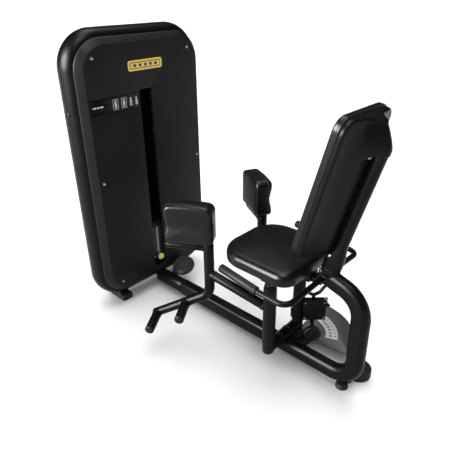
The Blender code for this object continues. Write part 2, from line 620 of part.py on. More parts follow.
def ring_sector(inner, outer, start, end, step=radians(9)):
    """The outline of a ring sector about the right pivot, angles from +X."""
    count = max(1, round((end - start) / step))
    angles = [start + (end - start) * k / count for k in range(count + 1)]
    spot = Vector((PIVOT_X, PIVOT_Y))
    outside = [spot + outer * Vector((cos(a), sin(a))) for a in angles]
    inside = [spot + inner * Vector((cos(a), sin(a))) for a in reversed(angles)]
    return [(*p, 0) for p in outside + inside]


def range_selector():
    pivot = Vector((PIVOT_X, PIVOT_Y, 0))
    up = Vector((0, 0, 1))
    top = SECTOR_LOW + SECTOR_THICK
    sector = slab("sector_plate", ring_sector(0.010, SECTOR_RADIUS, radians(-86), radians(6)), SECTOR_LOW, top,
                  PAINT)
    weld(sector, rod("sector_hub", pivot + up * SECTOR_LOW, pivot + up * 0.0815, 0.034))
    cut(sector, rod("hub_bore", pivot, pivot + up * 0.2, SHAFT_RADIUS + GAP))
    scale = slab("start_scale", ring_sector(SCALE_INNER, SCALE_OUTER, radians(-68), radians(0)), top + GAP,
                 top + 0.0025, STEEL)
    middle = (SCALE_INNER + SCALE_OUTER) / 2 - 0.008
    for k in range(8):
        a = radians(-62 + 8 * k)
        spot = pivot + Vector((middle * cos(a), middle * sin(a), 0))
        cut(scale, rod("scale_hole", spot, spot + up * 0.1, 0.0055, sides=10))
    turned("cable_drum", [(SHAFT_RADIUS + GAP, 0.009), (DRUM_RADIUS + 0.004, 0.009),
                          (DRUM_RADIUS - CABLE_RADIUS - 0.0004, 0.003),
                          (DRUM_RADIUS - CABLE_RADIUS - 0.0004, -0.003), (DRUM_RADIUS + 0.004, -0.009),
                          (SHAFT_RADIUS + GAP, -0.009), (SHAFT_RADIUS + GAP, 0.009)], IRON,
           pivot + up * CABLE_Z, steps=32)

    facing = Matrix.Translation(pivot) @ Matrix.Rotation(radians(-47), 4, "Z")
    housing = box("selector_housing", (0.020, -0.042, 0.168), (0.124, -0.004, 0.274), PAINT, facing)
    weld(housing, rod("clamp", pivot + up * 0.160, pivot + up * 0.200, 0.037))
    reach = radians(-22)
    arm_turn = Matrix.Translation(pivot) @ Matrix.Rotation(reach, 4, "Z")
    weld(housing, box("pin_arm", (0.02, -0.015, 0.1605), (0.190, 0.015, 0.172), None, arm_turn))
    pin_spot = pivot + Vector((middle * cos(reach), middle * sin(reach), 0))
    cut(housing, rod("clamp_bore", pivot + up * 0.1, pivot + up * 0.4, SLEEVE_RADIUS + GAP),
        rod("pin_bore", pin_spot, pin_spot + up * 0.3, 0.0052, sides=16))
    turned("lock_pin", [(0, 0.150), (0.011, 0.148), (0.0125, 0.140), (0.0125, 0.122), (0.0045, 0.118),
                        (0.0045, 0.0), (0, 0.0)], STEEL, pin_spot + up * (top + 0.003), steps=16)
    box("selector_cover", (0.016, -0.0445, 0.164), (0.128, -0.042 - GAP, 0.280), SHELL, facing)
    handle = [facing @ Vector(p) for p in ((0.037, -0.023, 0.326), (0.046, -0.023, 0.310), (0.066, -0.023, 0.300),
                                           (0.094, -0.023, 0.315), (0.120, -0.023, 0.355))]
    grip = tube("selector_handle", rounded([(p, 0.03) for p in handle]), 0.0085, PAINT)
    weld(grip, box("handle_foot", (0.058, -0.030, 0.277), (0.074, -0.016, 0.300), None, facing))
    wheel_radius = 0.043
    wheel_centre = facing @ Vector((0.064, -0.070, top + wheel_radius + GAP))
    spin = facing.to_3x3() @ Vector((0, 1, 0))
    turned("guide_roller", [(0.0055, 0.013), (wheel_radius - 0.004, 0.013), (wheel_radius, 0.009),
                            (wheel_radius, -0.009), (wheel_radius - 0.004, -0.013), (0.0055, -0.013),
                            (0.0055, 0.013)], RUBBER, wheel_centre, axis=spin, steps=28)
    weld(housing, box("roller_bridge", (0.054, -0.056, 0.152), (0.074, -0.010, 0.160), None, facing),
         box("roller_hanger", (0.055, -0.0555, 0.088), (0.073, -0.0515, 0.158), None, facing),
         box("bridge_root", (0.055, -0.032, 0.155), (0.073, -0.012, 0.172), None, facing),
         rod("roller_axle", wheel_centre - spin * 0.015, wheel_centre + spin * 0.017, 0.005, sides=16))


def hang(name, place, pieces, parent=None):
    """An empty on a joint's axis, with the pieces that move on it as its children."""
    axis = bpy.data.objects.new(name, None)
    axis.empty_display_size = 0.05
    PARTS.objects.link(axis)
    axis.location = place
    if parent:
        axis.parent = parent
        axis.matrix_parent_inverse = Matrix.Translation(-parent.matrix_world.translation)
    bpy.context.view_layer.update()
    for piece in pieces:
        obj = bpy.data.objects[piece]
        obj.parent = axis
        obj.matrix_parent_inverse = Matrix.Translation(-axis.matrix_world.translation)
    return axis


def moving_groups():
    """The empties on the axes of the stack, the two levers and the range selector."""
    stack = hang("stack_slide", (0, STACK_Y, STACK_LOW),
                 ["weight_plate_pinned", "weight_plates_upper", "stack_top_plate", "selector_rod", "stack_cable"])
    hang("pin_slide", (0, STACK_Y - STACK_DEPTH / 2, STACK_LOW + PLATE_PITCH / 2),
         ["selector_pin", "selector_knob"], stack)
    quadrant = hang("drive_axis", (PIVOT_X, PIVOT_Y, 0),
                    ["sector_plate", "start_scale", "cable_drum", "right_pivot_shaft"])
    lever_parts = ("lever_arm", "leg_post", "rear_peg", "pad_bracket", "knee_pad")
    right = hang("right_lever_axis", (PIVOT_X, PIVOT_Y, 0),
                 [*(f"right_{part}" for part in lever_parts), "selector_housing", "selector_cover",
                  "selector_handle"], quadrant)
    left_shaft = hang("left_shaft_axis", (-PIVOT_X, PIVOT_Y, 0), ["left_pivot_shaft"])
    hang("left_lever_axis", (-PIVOT_X, PIVOT_Y, 0), [f"left_{part}" for part in lever_parts], left_shaft)
    for piece in ("lock_pin", "guide_roller"):
        obj = bpy.data.objects[piece]
        obj.parent = right
        obj.matrix_parent_inverse = Matrix.Translation(-right.matrix_world.translation)


tower_casing()
weight_stack()
tower_cable()
beam_pieces()
rear_frame()
seat()
backrest()
handlebars()
beam_cover()
lever(-1, "left")
lever(1, "right")
range_selector()
moving_groups()
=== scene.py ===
"""Looks of a seated hip adduction machine: the visible pieces, their materials, the floor, the lights
and the camera."""

from math import cos, exp, pi, radians, sin, sqrt, tan

import bmesh
import bpy
from mathutils import Matrix, Vector
from mathutils.bvhtree import BVHTree


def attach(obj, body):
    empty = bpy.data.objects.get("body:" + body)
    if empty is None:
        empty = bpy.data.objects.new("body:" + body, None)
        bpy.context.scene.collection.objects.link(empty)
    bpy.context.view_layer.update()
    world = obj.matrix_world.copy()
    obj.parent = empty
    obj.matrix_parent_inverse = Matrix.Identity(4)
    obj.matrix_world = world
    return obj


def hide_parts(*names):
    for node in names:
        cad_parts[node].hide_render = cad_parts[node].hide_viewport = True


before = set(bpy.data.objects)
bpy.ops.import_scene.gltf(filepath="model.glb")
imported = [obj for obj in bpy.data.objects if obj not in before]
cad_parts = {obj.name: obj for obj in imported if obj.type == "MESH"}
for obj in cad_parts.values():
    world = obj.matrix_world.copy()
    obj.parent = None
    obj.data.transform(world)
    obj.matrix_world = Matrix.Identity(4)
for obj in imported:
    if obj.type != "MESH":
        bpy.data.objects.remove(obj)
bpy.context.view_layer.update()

X, Y, Z = Vector((1, 0, 0)), Vector((0, 1, 0)), Vector((0, 0, 1))
GAP = 0.0003

# Sizes of the CAD part, in metres
TOWER_FRONT, TOWER_BACK = 0.555, 0.779
SURROUND_MIDDLE, SURROUND_HALF_DEPTH, SURROUND_THICK = 0.663, 0.070, 0.056
STACK_Y, STACK_HALF, STACK_HALF_DEPTH = 0.635, 0.130, 0.055
STACK_LOW, PLATE_PITCH, PLATES = 0.190, 0.0146, 14
STACK_TOP = STACK_LOW + PLATES * PLATE_PITCH
PIN_Z = STACK_LOW + PLATE_PITCH / 2
BEAM_Z, OVAL_X, OVAL_Z = 0.066, 0.030, 0.042
PIVOT_X, PIVOT_Y = 0.119, -0.353
BACK_FOOT = Vector((0, -0.563, 0.545))
LEAN = Matrix.Translation(BACK_FOOT) @ Matrix.Rotation(radians(15), 4, "X")
LOOP_TOP = Vector((0, -0.733, 0.492))
LOOP_RISE = radians(17)
LOOP_END = LOOP_TOP + 0.215 * Vector((0, cos(LOOP_RISE), sin(LOOP_RISE)))
PIVOT = Vector((PIVOT_X, PIVOT_Y, 0))
FACING = Matrix.Translation(PIVOT) @ Matrix.Rotation(radians(-47), 4, "Z")
SECTOR_TOP = 0.058
ROD_X, CABLE_X, CABLE_Z, CABLE_RADIUS = 0.085, 0.040, 0.037, 0.003
LOW_PULLEY, LOW_PULLEY_RADIUS, TOP_PULLEY_Z = Vector((CABLE_X, 0.671, 0.078)), 0.041, 1.300
POST_X, POST_Y, POST_RADIUS, PEG_RADIUS = 0.196, -0.0495, 0.0245, 0.0225
PAD_SPREAD = radians(30)  # how far the pads open from straight ahead
PIN_RING = 0.1695  # from the pivot to the sector's holes
BACK_TUBE_Y, BACK_TUBE_RADIUS = -0.004, 0.025
COVER_SCREWS = ((-0.297, 1.357), (0.281, 1.358), (0.322, 0.760), (-0.322, 0.762), (-0.287, 0.163), (0.287, 0.163))
SIDES = ((-1, "left"), (1, "right"))
FACE_ON = Matrix.Rotation(pi / 2, 4, "X")  # turns an outline in X and Y to face -Y

# The lights: name, azimuth and height in degrees, strength, width in degrees, and whether it lights
# only gloss or only matt shading
LAMPS = (("overhead", 228, 76, 2.80, 30, True), ("left", 160, 18, 24.0, 40, True), ("behind", 48, 66, 1.80, 34, True),
         ("fill_back", 60, 64, 3.20, 80, False), ("fill_front", 235, 66, 1.40, 80, False))


# ---- materials ------------------------------------------------------------------------------------


def look(name, dark, light, rough, metallic=0.0, specular=0.5, grain=(900, 0.25, 0.0004), mottle=9.0,
         coat=0.0, sheen=0.0, cells=None, edge=0.0, stretch=(1, 1, 1)):
    """A material whose colour, roughness and bump vary: dark and light are its two tones, rough its range."""
    made = bpy.data.materials.new(name + "_finish")
    made.use_nodes = True
    nodes, links = made.node_tree.nodes, made.node_tree.links
    shader = nodes["Principled BSDF"]
    for socket, value in (("Metallic", metallic), ("Specular IOR Level", specular), ("Coat Weight", coat),
                          ("Coat Roughness", 0.12), ("Sheen Weight", sheen), ("Sheen Roughness", 0.4)):
        shader.inputs[socket].default_value = value
    place = nodes.new("ShaderNodeTexCoord")
    scale = nodes.new("ShaderNodeMapping")
    scale.inputs["Scale"].default_value = stretch
    links.new(place.outputs["Object"], scale.inputs["Vector"])

    def noise(size, detail, roughness=0.6):
        node = nodes.new("ShaderNodeTexNoise")
        node.inputs["Scale"].default_value = size
        node.inputs["Detail"].default_value = detail
        node.inputs["Roughness"].default_value = roughness
        links.new(scale.outputs["Vector"], node.inputs["Vector"])
        return node

    broad, fine = noise(mottle, 5), noise(grain[0], 3)
    tone = nodes.new("ShaderNodeValToRGB")
    tone.color_ramp.elements[0].position, tone.color_ramp.elements[1].position = 0.30, 0.72
    tone.color_ramp.elements[0].color = (*dark, 1)
    tone.color_ramp.elements[1].color = (*light, 1)
    links.new(broad.outputs["Fac"], tone.inputs["Fac"])
    colour = tone.outputs["Color"]
    speck = nodes.new("ShaderNodeMix")
    speck.data_type, speck.blend_type = "RGBA", "MULTIPLY"
    speck.inputs["Factor"].default_value = 0.35
    links.new(colour, speck.inputs["A"])
    links.new(fine.outputs["Color"], speck.inputs["B"])
    colour = speck.outputs["Result"]
    if edge:
        worn = nodes.new("ShaderNodeNewGeometry")
        mask = nodes.new("ShaderNodeMapRange")
        mask.inputs["From Min"].default_value, mask.inputs["From Max"].default_value = 0.52, 0.62
        mask.inputs["To Max"].default_value = edge
        links.new(worn.outputs["Pointiness"], mask.inputs["Value"])
        rub = nodes.new("ShaderNodeMix")
        rub.data_type = "RGBA"
        rub.inputs["B"].default_value = (*(min(1, 3.0 * c + 0.02) for c in light), 1)
        links.new(mask.outputs["Result"], rub.inputs["Factor"])
        links.new(colour, rub.inputs["A"])
        colour = rub.outputs["Result"]
    links.new(colour, shader.inputs["Base Color"])
    gloss = nodes.new("ShaderNodeMapRange")
    gloss.inputs["From Min"].default_value, gloss.inputs["From Max"].default_value = 0.3, 0.7
    gloss.inputs["To Min"].default_value, gloss.inputs["To Max"].default_value = rough
    links.new(noise(mottle * 3.1, 6).outputs["Fac"], gloss.inputs["Value"])
    links.new(gloss.outputs["Result"], shader.inputs["Roughness"])
    bump = nodes.new("ShaderNodeBump")
    bump.inputs["Strength"].default_value, bump.inputs["Distance"].default_value = grain[1], grain[2]
    links.new(fine.outputs["Fac"], bump.inputs["Height"])
    links.new(bump.outputs["Normal"], shader.inputs["Normal"])
    if cells:
        pebble = nodes.new("ShaderNodeTexVoronoi")
        pebble.feature = "SMOOTH_F1"
        pebble.inputs["Scale"].default_value = cells[0]
        links.new(scale.outputs["Vector"], pebble.inputs["Vector"])
        second = nodes.new("ShaderNodeBump")
        second.inputs["Strength"].default_value, second.inputs["Distance"].default_value = cells[1], cells[2]
        links.new(pebble.outputs["Distance"], second.inputs["Height"])
        links.new(bump.outputs["Normal"], second.inputs["Normal"])
        links.new(second.outputs["Normal"], shader.inputs["Normal"])
    return made


PAINT = look("powder_coat", (0.0041, 0.0041, 0.0042), (0.0057, 0.0057, 0.0060), (0.30, 0.38), specular=0.070,
             grain=(700, 0.22, 0.0003), mottle=11, edge=0.25)
SHELL = look("grained_plastic", (0.0085, 0.0085, 0.0088), (0.0115, 0.0115, 0.0118), (0.42, 0.52), specular=0.119,
             grain=(1100, 0.35, 0.0003), mottle=7, cells=(850, 0.25, 0.0003), edge=0.20)
MOULDED = look("moulded_shell", (0.0047, 0.0047, 0.0048), (0.0065, 0.0065, 0.0066), (0.32, 0.40), specular=0.072,
               grain=(1000, 0.30, 0.0003), mottle=8, edge=0.25)
GLOSS = look("gloss_plastic", (0.0030, 0.0030, 0.0032), (0.0050, 0.0050, 0.0052), (0.16, 0.26), specular=0.160,
             grain=(300, 0.04, 0.0002))
LEATHER = look("synthetic_leather", (0.0040, 0.0040, 0.0042), (0.0062, 0.0062, 0.0064), (0.26, 0.34),
               specular=0.162, grain=(1500, 0.20, 0.0002), mottle=14, cells=(620, 0.42, 0.0004), sheen=0.05)
RUBBER = look("rubber", (0.0080, 0.0080, 0.0082), (0.0130, 0.0130, 0.0130), (0.50, 0.66), specular=0.132,
              grain=(600, 0.4, 0.0005), mottle=20, edge=0.2)
GRIP = look("grip_foam", (0.0090, 0.0090, 0.0092), (0.0132, 0.0132, 0.0135), (0.42, 0.54), specular=0.120,
            grain=(900, 0.5, 0.0004), mottle=24, cells=(520, 0.35, 0.0005))
STEEL = look("bright_steel", (0.48, 0.48, 0.49), (0.66, 0.66, 0.67), (0.20, 0.36), metallic=1.0,
             grain=(260, 0.15, 0.0002), mottle=60, stretch=(1, 1, 6))
IRON = look("cast_iron", (0.016, 0.016, 0.017), (0.028, 0.028, 0.029), (0.45, 0.62), metallic=0.3, specular=0.4,
            grain=(800, 0.5, 0.0004), mottle=30, edge=0.5)
YELLOW = look("yellow_plastic", (0.80, 0.58, 0.09), (0.90, 0.68, 0.14), (0.28, 0.40), grain=(400, 0.1, 0.0002),
              mottle=40)
CABLE = look("coated_cable", (0.010, 0.010, 0.010), (0.018, 0.018, 0.018), (0.32, 0.45),
             grain=(500, 0.2, 0.0002), mottle=30)
SATIN = look("brushed_scale", (0.42, 0.42, 0.43), (0.56, 0.56, 0.57), (0.36, 0.50), metallic=0.1,
             grain=(700, 0.15, 0.0002), mottle=50, stretch=(5, 1, 1))
INK = look("white_ink", (0.62, 0.62, 0.62), (0.80, 0.80, 0.80), (0.40, 0.55), grain=(900, 0.1, 0.0001))
# Black for print, plugs and cups, and also the painted shade of the scale's pin holes
DARK_INK_AND_HOLE_SHADE = look("black_ink_and_hole_shade", (0.010, 0.010, 0.010), (0.016, 0.016, 0.016), (0.4, 0.5), grain=(900, 0.1, 0.0001))
PLATE_PAINT = look("plate_paint", (0.030, 0.030, 0.031), (0.042, 0.042, 0.043), (0.40, 0.52), specular=0.3,
                   grain=(700, 0.2, 0.0003), mottle=14, edge=0.3)
COVER_TOP = look("cover_plastic", (0.013, 0.013, 0.0134), (0.019, 0.019, 0.0194), (0.45, 0.55), specular=0.25,
                 grain=(1000, 0.3, 0.0003), mottle=9, edge=0.3)
SEAM = look("seam_thread", (0.004, 0.004, 0.004), (0.007, 0.007, 0.007), (0.55, 0.7), specular=0.2,
            grain=(1500, 0.5, 0.0003), mottle=60)


# ---- shapes ---------------------------------------------------------------------------------------


def piece(name, shape, material, body, *nodes, sharp=38, padded=None):
    """Makes the built shape an object on a body, standing for the CAD nodes named."""
    bmesh.ops.remove_doubles(shape, verts=shape.verts, dist=2e-6)
    bmesh.ops.recalc_face_normals(shape, faces=shape.faces)
    mesh = bpy.data.meshes.new(name)
    shape.to_mesh(mesh)
    shape.free()
    mesh.materials.append(material)
    mesh.shade_smooth()
    mesh.set_sharp_from_angle(angle=radians(sharp))
    obj = bpy.data.objects.new(name, mesh)
    bpy.context.scene.collection.objects.link(obj)
    return settle(obj, material, body, *nodes, padded=padded)


def settle(obj, material, body, *nodes, padded=None):
    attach(obj, body)
    if nodes:
        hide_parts(*nodes)
    return obj


def loft(shape, rings, closed=False, caps=True):
    """Faces between rings of equally many points."""
    made = [[shape.verts.new(p) for p in ring] for ring in rings]
    pairs = list(zip(made, made[1:])) + ([(made[-1], made[0])] if closed else [])
    for a, b in pairs:
        for i in range(len(a)):
            j = (i + 1) % len(a)
            shape.faces.new((a[i], a[j], b[j], b[i]))
    if caps and not closed:
        shape.faces.new(made[0][::-1])
        shape.faces.new(made[-1])
    return made


def rounded(corners, cyclic=False, step=radians(4)):
    """The points of a path through corners given as (point, radius), each corner an arc."""
    count, points = len(corners), []
    for i, (corner, radius) in enumerate(corners):
        corner = Vector(corner)
        if not cyclic and i in (0, count - 1):
            points.append(corner)
            continue
        before = (corner - Vector(corners[i - 1][0])).normalized()
        after = (Vector(corners[(i + 1) % count][0]) - corner).normalized()
        turn = before.angle(after)
        side = (after - before * before.dot(after)).normalized()
        start = corner - before * radius * tan(turn / 2)
        pieces = max(1, round(turn / step))
        for k in range(pieces + 1):
            a = turn * k / pieces
            points.append(start + before * radius * sin(a) + side * radius * (1 - cos(a)))
    return points


def rectangle(half, low, high, radius, step=radians(6), top_radius=None):
    top = radius if top_radius is None else top_radius
    return rounded([((-half, low, 0), radius), ((half, low, 0), radius),
                    ((half, high, 0), top), ((-half, high, 0), top)], cyclic=True, step=step)


def circle(radius, sides=40):
    return [(radius * cos(2 * pi * k / sides), radius * sin(2 * pi * k / sides)) for k in range(sides)]


def oval(half_x, half_y, sides=48):
    """A section with two flat sides and half-round ends."""
    points = []
    for k in range(sides):
        a = 2 * pi * (k + 0.5) / sides
        shift = (half_y - half_x) * (1 if sin(a) > 0 else -1)
        points.append((half_x * cos(a), half_x * sin(a) + shift))
    return points


def sweep(shape, path, section, side=None, soft=0.002, scales=None):
    """A bar along a path. Its section is given across (side, tangent x side); its ends are softened."""
    path = [Vector(p) for p in path]
    count = len(path)
    tangents = [(path[min(i + 1, count - 1)] - path[max(i - 1, 0)]).normalized() for i in range(count)]
    across = Vector(side) if side else tangents[0].orthogonal().normalized()
    reach = max(sqrt(x * x + y * y) for x, y in section)
    rings = []
    for i, (point, tangent) in enumerate(zip(path, tangents)):
        across = (across - tangent * across.dot(tangent)).normalized()
        normal = tangent.cross(across)
        size = scales[i] if scales else 1.0

        def ring(scale, shift):
            return [point + tangent * shift + across * x * scale * size + normal * y * scale * size
                    for x, y in section]

        if i == 0:
            rings += [ring(1 - soft * (1 - sin(a)) / reach, soft * (1 - cos(a))) for a in (0, pi / 6, pi / 3)]
            rings.append(ring(1, soft))
        elif i == count - 1:
            rings.append(ring(1, -soft))
            rings += [ring(1 - soft * (1 - sin(a)) / reach, -soft * (1 - cos(a))) for a in (pi / 3, pi / 6, 0)]
        else:
            rings.append(ring(1, 0))
    loft(shape, rings)


def bar(shape, start, end, radius, sides=40, soft=0.002):
    sweep(shape, (start, (Vector(start) + Vector(end)) / 2, end), circle(radius, sides), soft=soft)


def turned(shape, profile, centre, axis=Z, steps=56, fillet=0.0):
    """A body turned about an axis from (radius, height) pairs."""
    if fillet:
        ends = [((*profile[0], 0), 0)] + [((*p, 0), fillet) for p in profile[1:-1]] + [((*profile[-1], 0), 0)]
        profile = [(p.x, p.y) for p in rounded(ends, step=radians(22))]
    place = Matrix.Translation(centre) @ Vector(axis).to_track_quat("Z", "Y").to_matrix().to_4x4()
    rings = [[place @ Vector((max(r, 0) * cos(2 * pi * k / steps), max(r, 0) * sin(2 * pi * k / steps), h))
              for k in range(steps)] for r, h in profile]
    loft(shape, rings, caps=False)


def block(shape, low, high, turn=None, soft=0.003, segments=3):
    low, high = Vector(low), Vector(high)
    place = Matrix.Translation((low + high) / 2) @ Matrix.Diagonal((*(high - low), 1))
    made = bmesh.ops.create_cube(shape, size=1, matrix=(turn or Matrix()) @ place)["verts"]
    edges = list({e for v in made for e in v.link_edges})
    soft = min(soft, 0.45 * min(high - low))
    bmesh.ops.bevel(shape, geom=edges, offset=soft, segments=segments, profile=0.5, affect="EDGES")


def prism(shape, outline, low, high, place=None, soft=0.0015):
    """An outline in X and Y given thickness in Z, its edges rounded, then placed by a matrix."""
    place = place or Matrix()
    points = [Vector((p[0], p[1], 0)) for p in outline]
    count = len(points)
    inward = []
    for i, point in enumerate(points):
        along = (points[(i + 1) % count] - points[i - 1]).normalized()
        inward.append(Vector((-along.y, along.x, 0)))
    area = sum(points[i - 1].x * points[i].y - points[i].x * points[i - 1].y for i in range(count))
    flip = 1 if area > 0 else -1
    rings = []
    for z, way in ((low, 1), (high, -1)):
        arc = [(soft * (1 - sin(a)), way * soft * (1 - cos(a))) for a in (0, pi / 4, pi / 2)]
        rings += [[place @ (p + n * flip * inset + Z * (z + lift)) for p, n in zip(points, inward)]
                  for inset, lift in (arc if way > 0 else arc[::-1])]
    loft(shape, rings)


def bolt(shape, at, axis, radius, washer=True):
    """A socket-head screw on its washer."""
    at, axis = Vector(at), Vector(axis).normalized()
    place = Matrix.Translation(at) @ axis.to_track_quat("Z", "Y").to_matrix().to_4x4()
    if washer:
        turned(shape, [(0, 0), (1.75 * radius, 0), (1.75 * radius, 0.0012), (radius, 0.0016)], at, axis, 32, 0.0003)
    high, low, steps = 0.0012 + 0.75 * radius, 0.0012 + 0.35 * radius, 24

    def ring(r, z, hexagon=False):
        points = []
        for k in range(steps):
            a = 2 * pi * k / steps
            reach = r / cos((a + pi / 6) % (pi / 3) - pi / 6) if hexagon else r
            points.append(place @ Vector((reach * cos(a), reach * sin(a), z)))
        return points

    loft(shape, [ring(radius, 0.0002), ring(radius, high - 0.3 * radius), ring(0.93 * radius, high - 0.08 * radius),
                 ring(0.8 * radius, high), ring(0.50 * radius, high, True), ring(0.48 * radius, low, True)])


def weld_bead(shape, centre, axis, radius, size=0.0028, steps=56, stretch=1.0, side=X):
    """The rippled ring of a weld around a tube."""
    axis = Vector(axis).normalized()
    across = (Vector(side) - axis * axis.dot(Vector(side))).normalized()
    other = axis.cross(across)
    rings = []
    for k in range(steps * 2):
        a = pi * k / steps
        out = across * cos(a) + other * sin(a) * stretch
        swell = size * (1 + 0.18 * sin(16 * a))
        spot = Vector(centre) + out * radius
        rings.append([spot + out.normalized() * swell * cos(b) + axis * swell * sin(b)
                      for b in (2 * pi * j / 8 for j in range(8))])
    loft(shape, rings, closed=True)


def lettering(shape, words, place, size, thickness=0.0004, bold=0.0):
    """Numbers as thin raised shapes, centred, on the plane of a matrix's X and Y."""
    curve = bpy.data.curves.new("numbers", "FONT")
    curve.body, curve.size, curve.extrude, curve.offset = words, size, thickness / 2, bold
    curve.align_x, curve.align_y = "CENTER", "CENTER"
    obj = bpy.data.objects.new("numbers", curve)
    bpy.context.scene.collection.objects.link(obj)
    mesh = bpy.data.meshes.new_from_object(obj.evaluated_get(bpy.context.evaluated_depsgraph_get()))
    mesh.transform(place)
    shape.from_mesh(mesh)
    bpy.data.objects.remove(obj, do_unlink=True)
    bpy.data.meshes.remove(mesh)


# ---- camera, floor and lights ---------------------------------------------------------------------


def stage():
    """The camera, a pale floor and the lights."""
    pitch, yaw, roll = radians(27.142), radians(46.946), radians(-0.756)
    forward = Vector((sin(yaw) * cos(pitch), cos(yaw) * cos(pitch), -sin(pitch)))
    right = Vector((cos(yaw), -sin(yaw), 0))
    upward = right.cross(forward)
    across = cos(roll) * right + sin(roll) * upward
    over = -sin(roll) * right + cos(roll) * upward
    data = bpy.data.cameras.new("camera")
    data.sensor_width, data.lens, data.clip_end = 36, 36.9, 500
    camera = bpy.data.objects.new("camera", data)
    camera.matrix_world = Matrix.Translation((-1.4906, -1.3707, 1.6294)) @ Matrix(
        (across, over, -forward)).transposed().to_4x4()
    bpy.context.scene.collection.objects.link(camera)
    bpy.context.scene.camera = camera

    shape = bmesh.new()
    bmesh.ops.create_grid(shape, x_segments=8, y_segments=8, size=150)
    mesh = bpy.data.meshes.new("studio_floor")
    shape.to_mesh(mesh)
    shape.free()
    floor = bpy.data.objects.new("studio_floor", mesh)
    floor.location.z = -0.0006
    mesh.materials.append(look("floor_paint", (0.90, 0.90, 0.90), (0.92, 0.92, 0.92), (0.75, 0.85), specular=0.1,
                               grain=(40, 0.02, 0.0002), mottle=0.5))
    mesh.materials[0].node_tree.nodes["Mix"].inputs["Factor"].default_value = 0.0
    bpy.context.scene.collection.objects.link(floor)

    world = bpy.data.worlds.new("studio")
    world.use_nodes = True
    world.node_tree.nodes["Background"].inputs["Color"].default_value = (1, 1, 1, 1)
    world.node_tree.nodes["Background"].inputs["Strength"].default_value = 0.25
    bpy.context.scene.world = world
    world.cycles_visibility.glossy = False
    for name, azimuth, height, strength, width, glossy in LAMPS:
        lamp = bpy.data.lights.new(name, "SUN")
        lamp.energy, lamp.angle = strength, radians(width)
        obj = bpy.data.objects.new(name, lamp)
        obj.visible_glossy = glossy
        obj.visible_diffuse = not glossy
        a, h = radians(azimuth), radians(height)
        obj.rotation_euler = Vector((cos(a) * cos(h), sin(a) * cos(h), sin(h))).to_track_quat("Z", "Y").to_euler()
        bpy.context.scene.collection.objects.link(obj)
    bpy.context.scene.view_settings.view_transform = "Standard"
    bpy.context.scene.view_settings.look = "None"


# ---- weight tower ---------------------------------------------------------------------------------


def cover(shape, half, low, high, radius, face, way, slope, depth, holes=()):
    """A cover's skin: its flat face, the rim that slopes back, and the walls of its holes."""
    def outline(outset, y):
        return [Vector((p.x, face + way * y, p.y))
                for p in rectangle(half + outset, low - outset, high + outset, radius + outset)]

    steps = [(-0.002, 0), (-0.0006, 0.0002), (0.0008, 0.0010), (0.003, 0.0030), (slope - 0.004, slope - 0.0045),
             (slope - 0.0016, slope - 0.0016), (slope - 0.0002, slope + 0.0012), (slope, slope + 0.003),
             (slope, depth)]
    made = loft(shape, [outline(*s) for s in steps], caps=False)
    edges = [shape.edges.get((made[0][i], made[0][i - 1])) for i in range(len(made[0]))]
    for (x0, x1, z0, z1), corner, back, floor in holes:
        middle = (x0 + x1) / 2
        rings = []
        for inset, y in ((0, 0), (0.0006, 0.0003), (0.0010, 0.0012), (0.0010, back)):
            rings.append([Vector((p.x + middle, face + way * y, p.y))
                          for p in rectangle((x1 - x0) / 2 - inset, z0 + inset, z1 - inset, corner, radians(15))])
        wall = loft(shape, rings, caps=False)
        edges += [shape.edges.get((wall[0][i], wall[0][i - 1])) for i in range(len(wall[0]))]
        if floor:
            shape.faces.new(wall[-1])
    bmesh.ops.triangle_fill(shape, use_beauty=True, edges=edges)


def thicken(obj, thickness):
    """Gives a skin its wall and applies it."""
    wall = obj.modifiers.new("wall", "SOLIDIFY")
    wall.thickness, wall.offset = thickness, -1
    apply_all(obj)


def apply_all(obj):
    graph = bpy.context.evaluated_depsgraph_get()
    mesh = bpy.data.meshes.new_from_object(obj.evaluated_get(graph))
    obj.modifiers.clear()
    obj.data = mesh


def opening(inset, step=radians(3)):
    half, low, top = 0.345 - inset, 0.093 + inset, 1.424 - inset
    return rectangle(half, low, top, 0.115 - inset, step, 0.125 - inset)


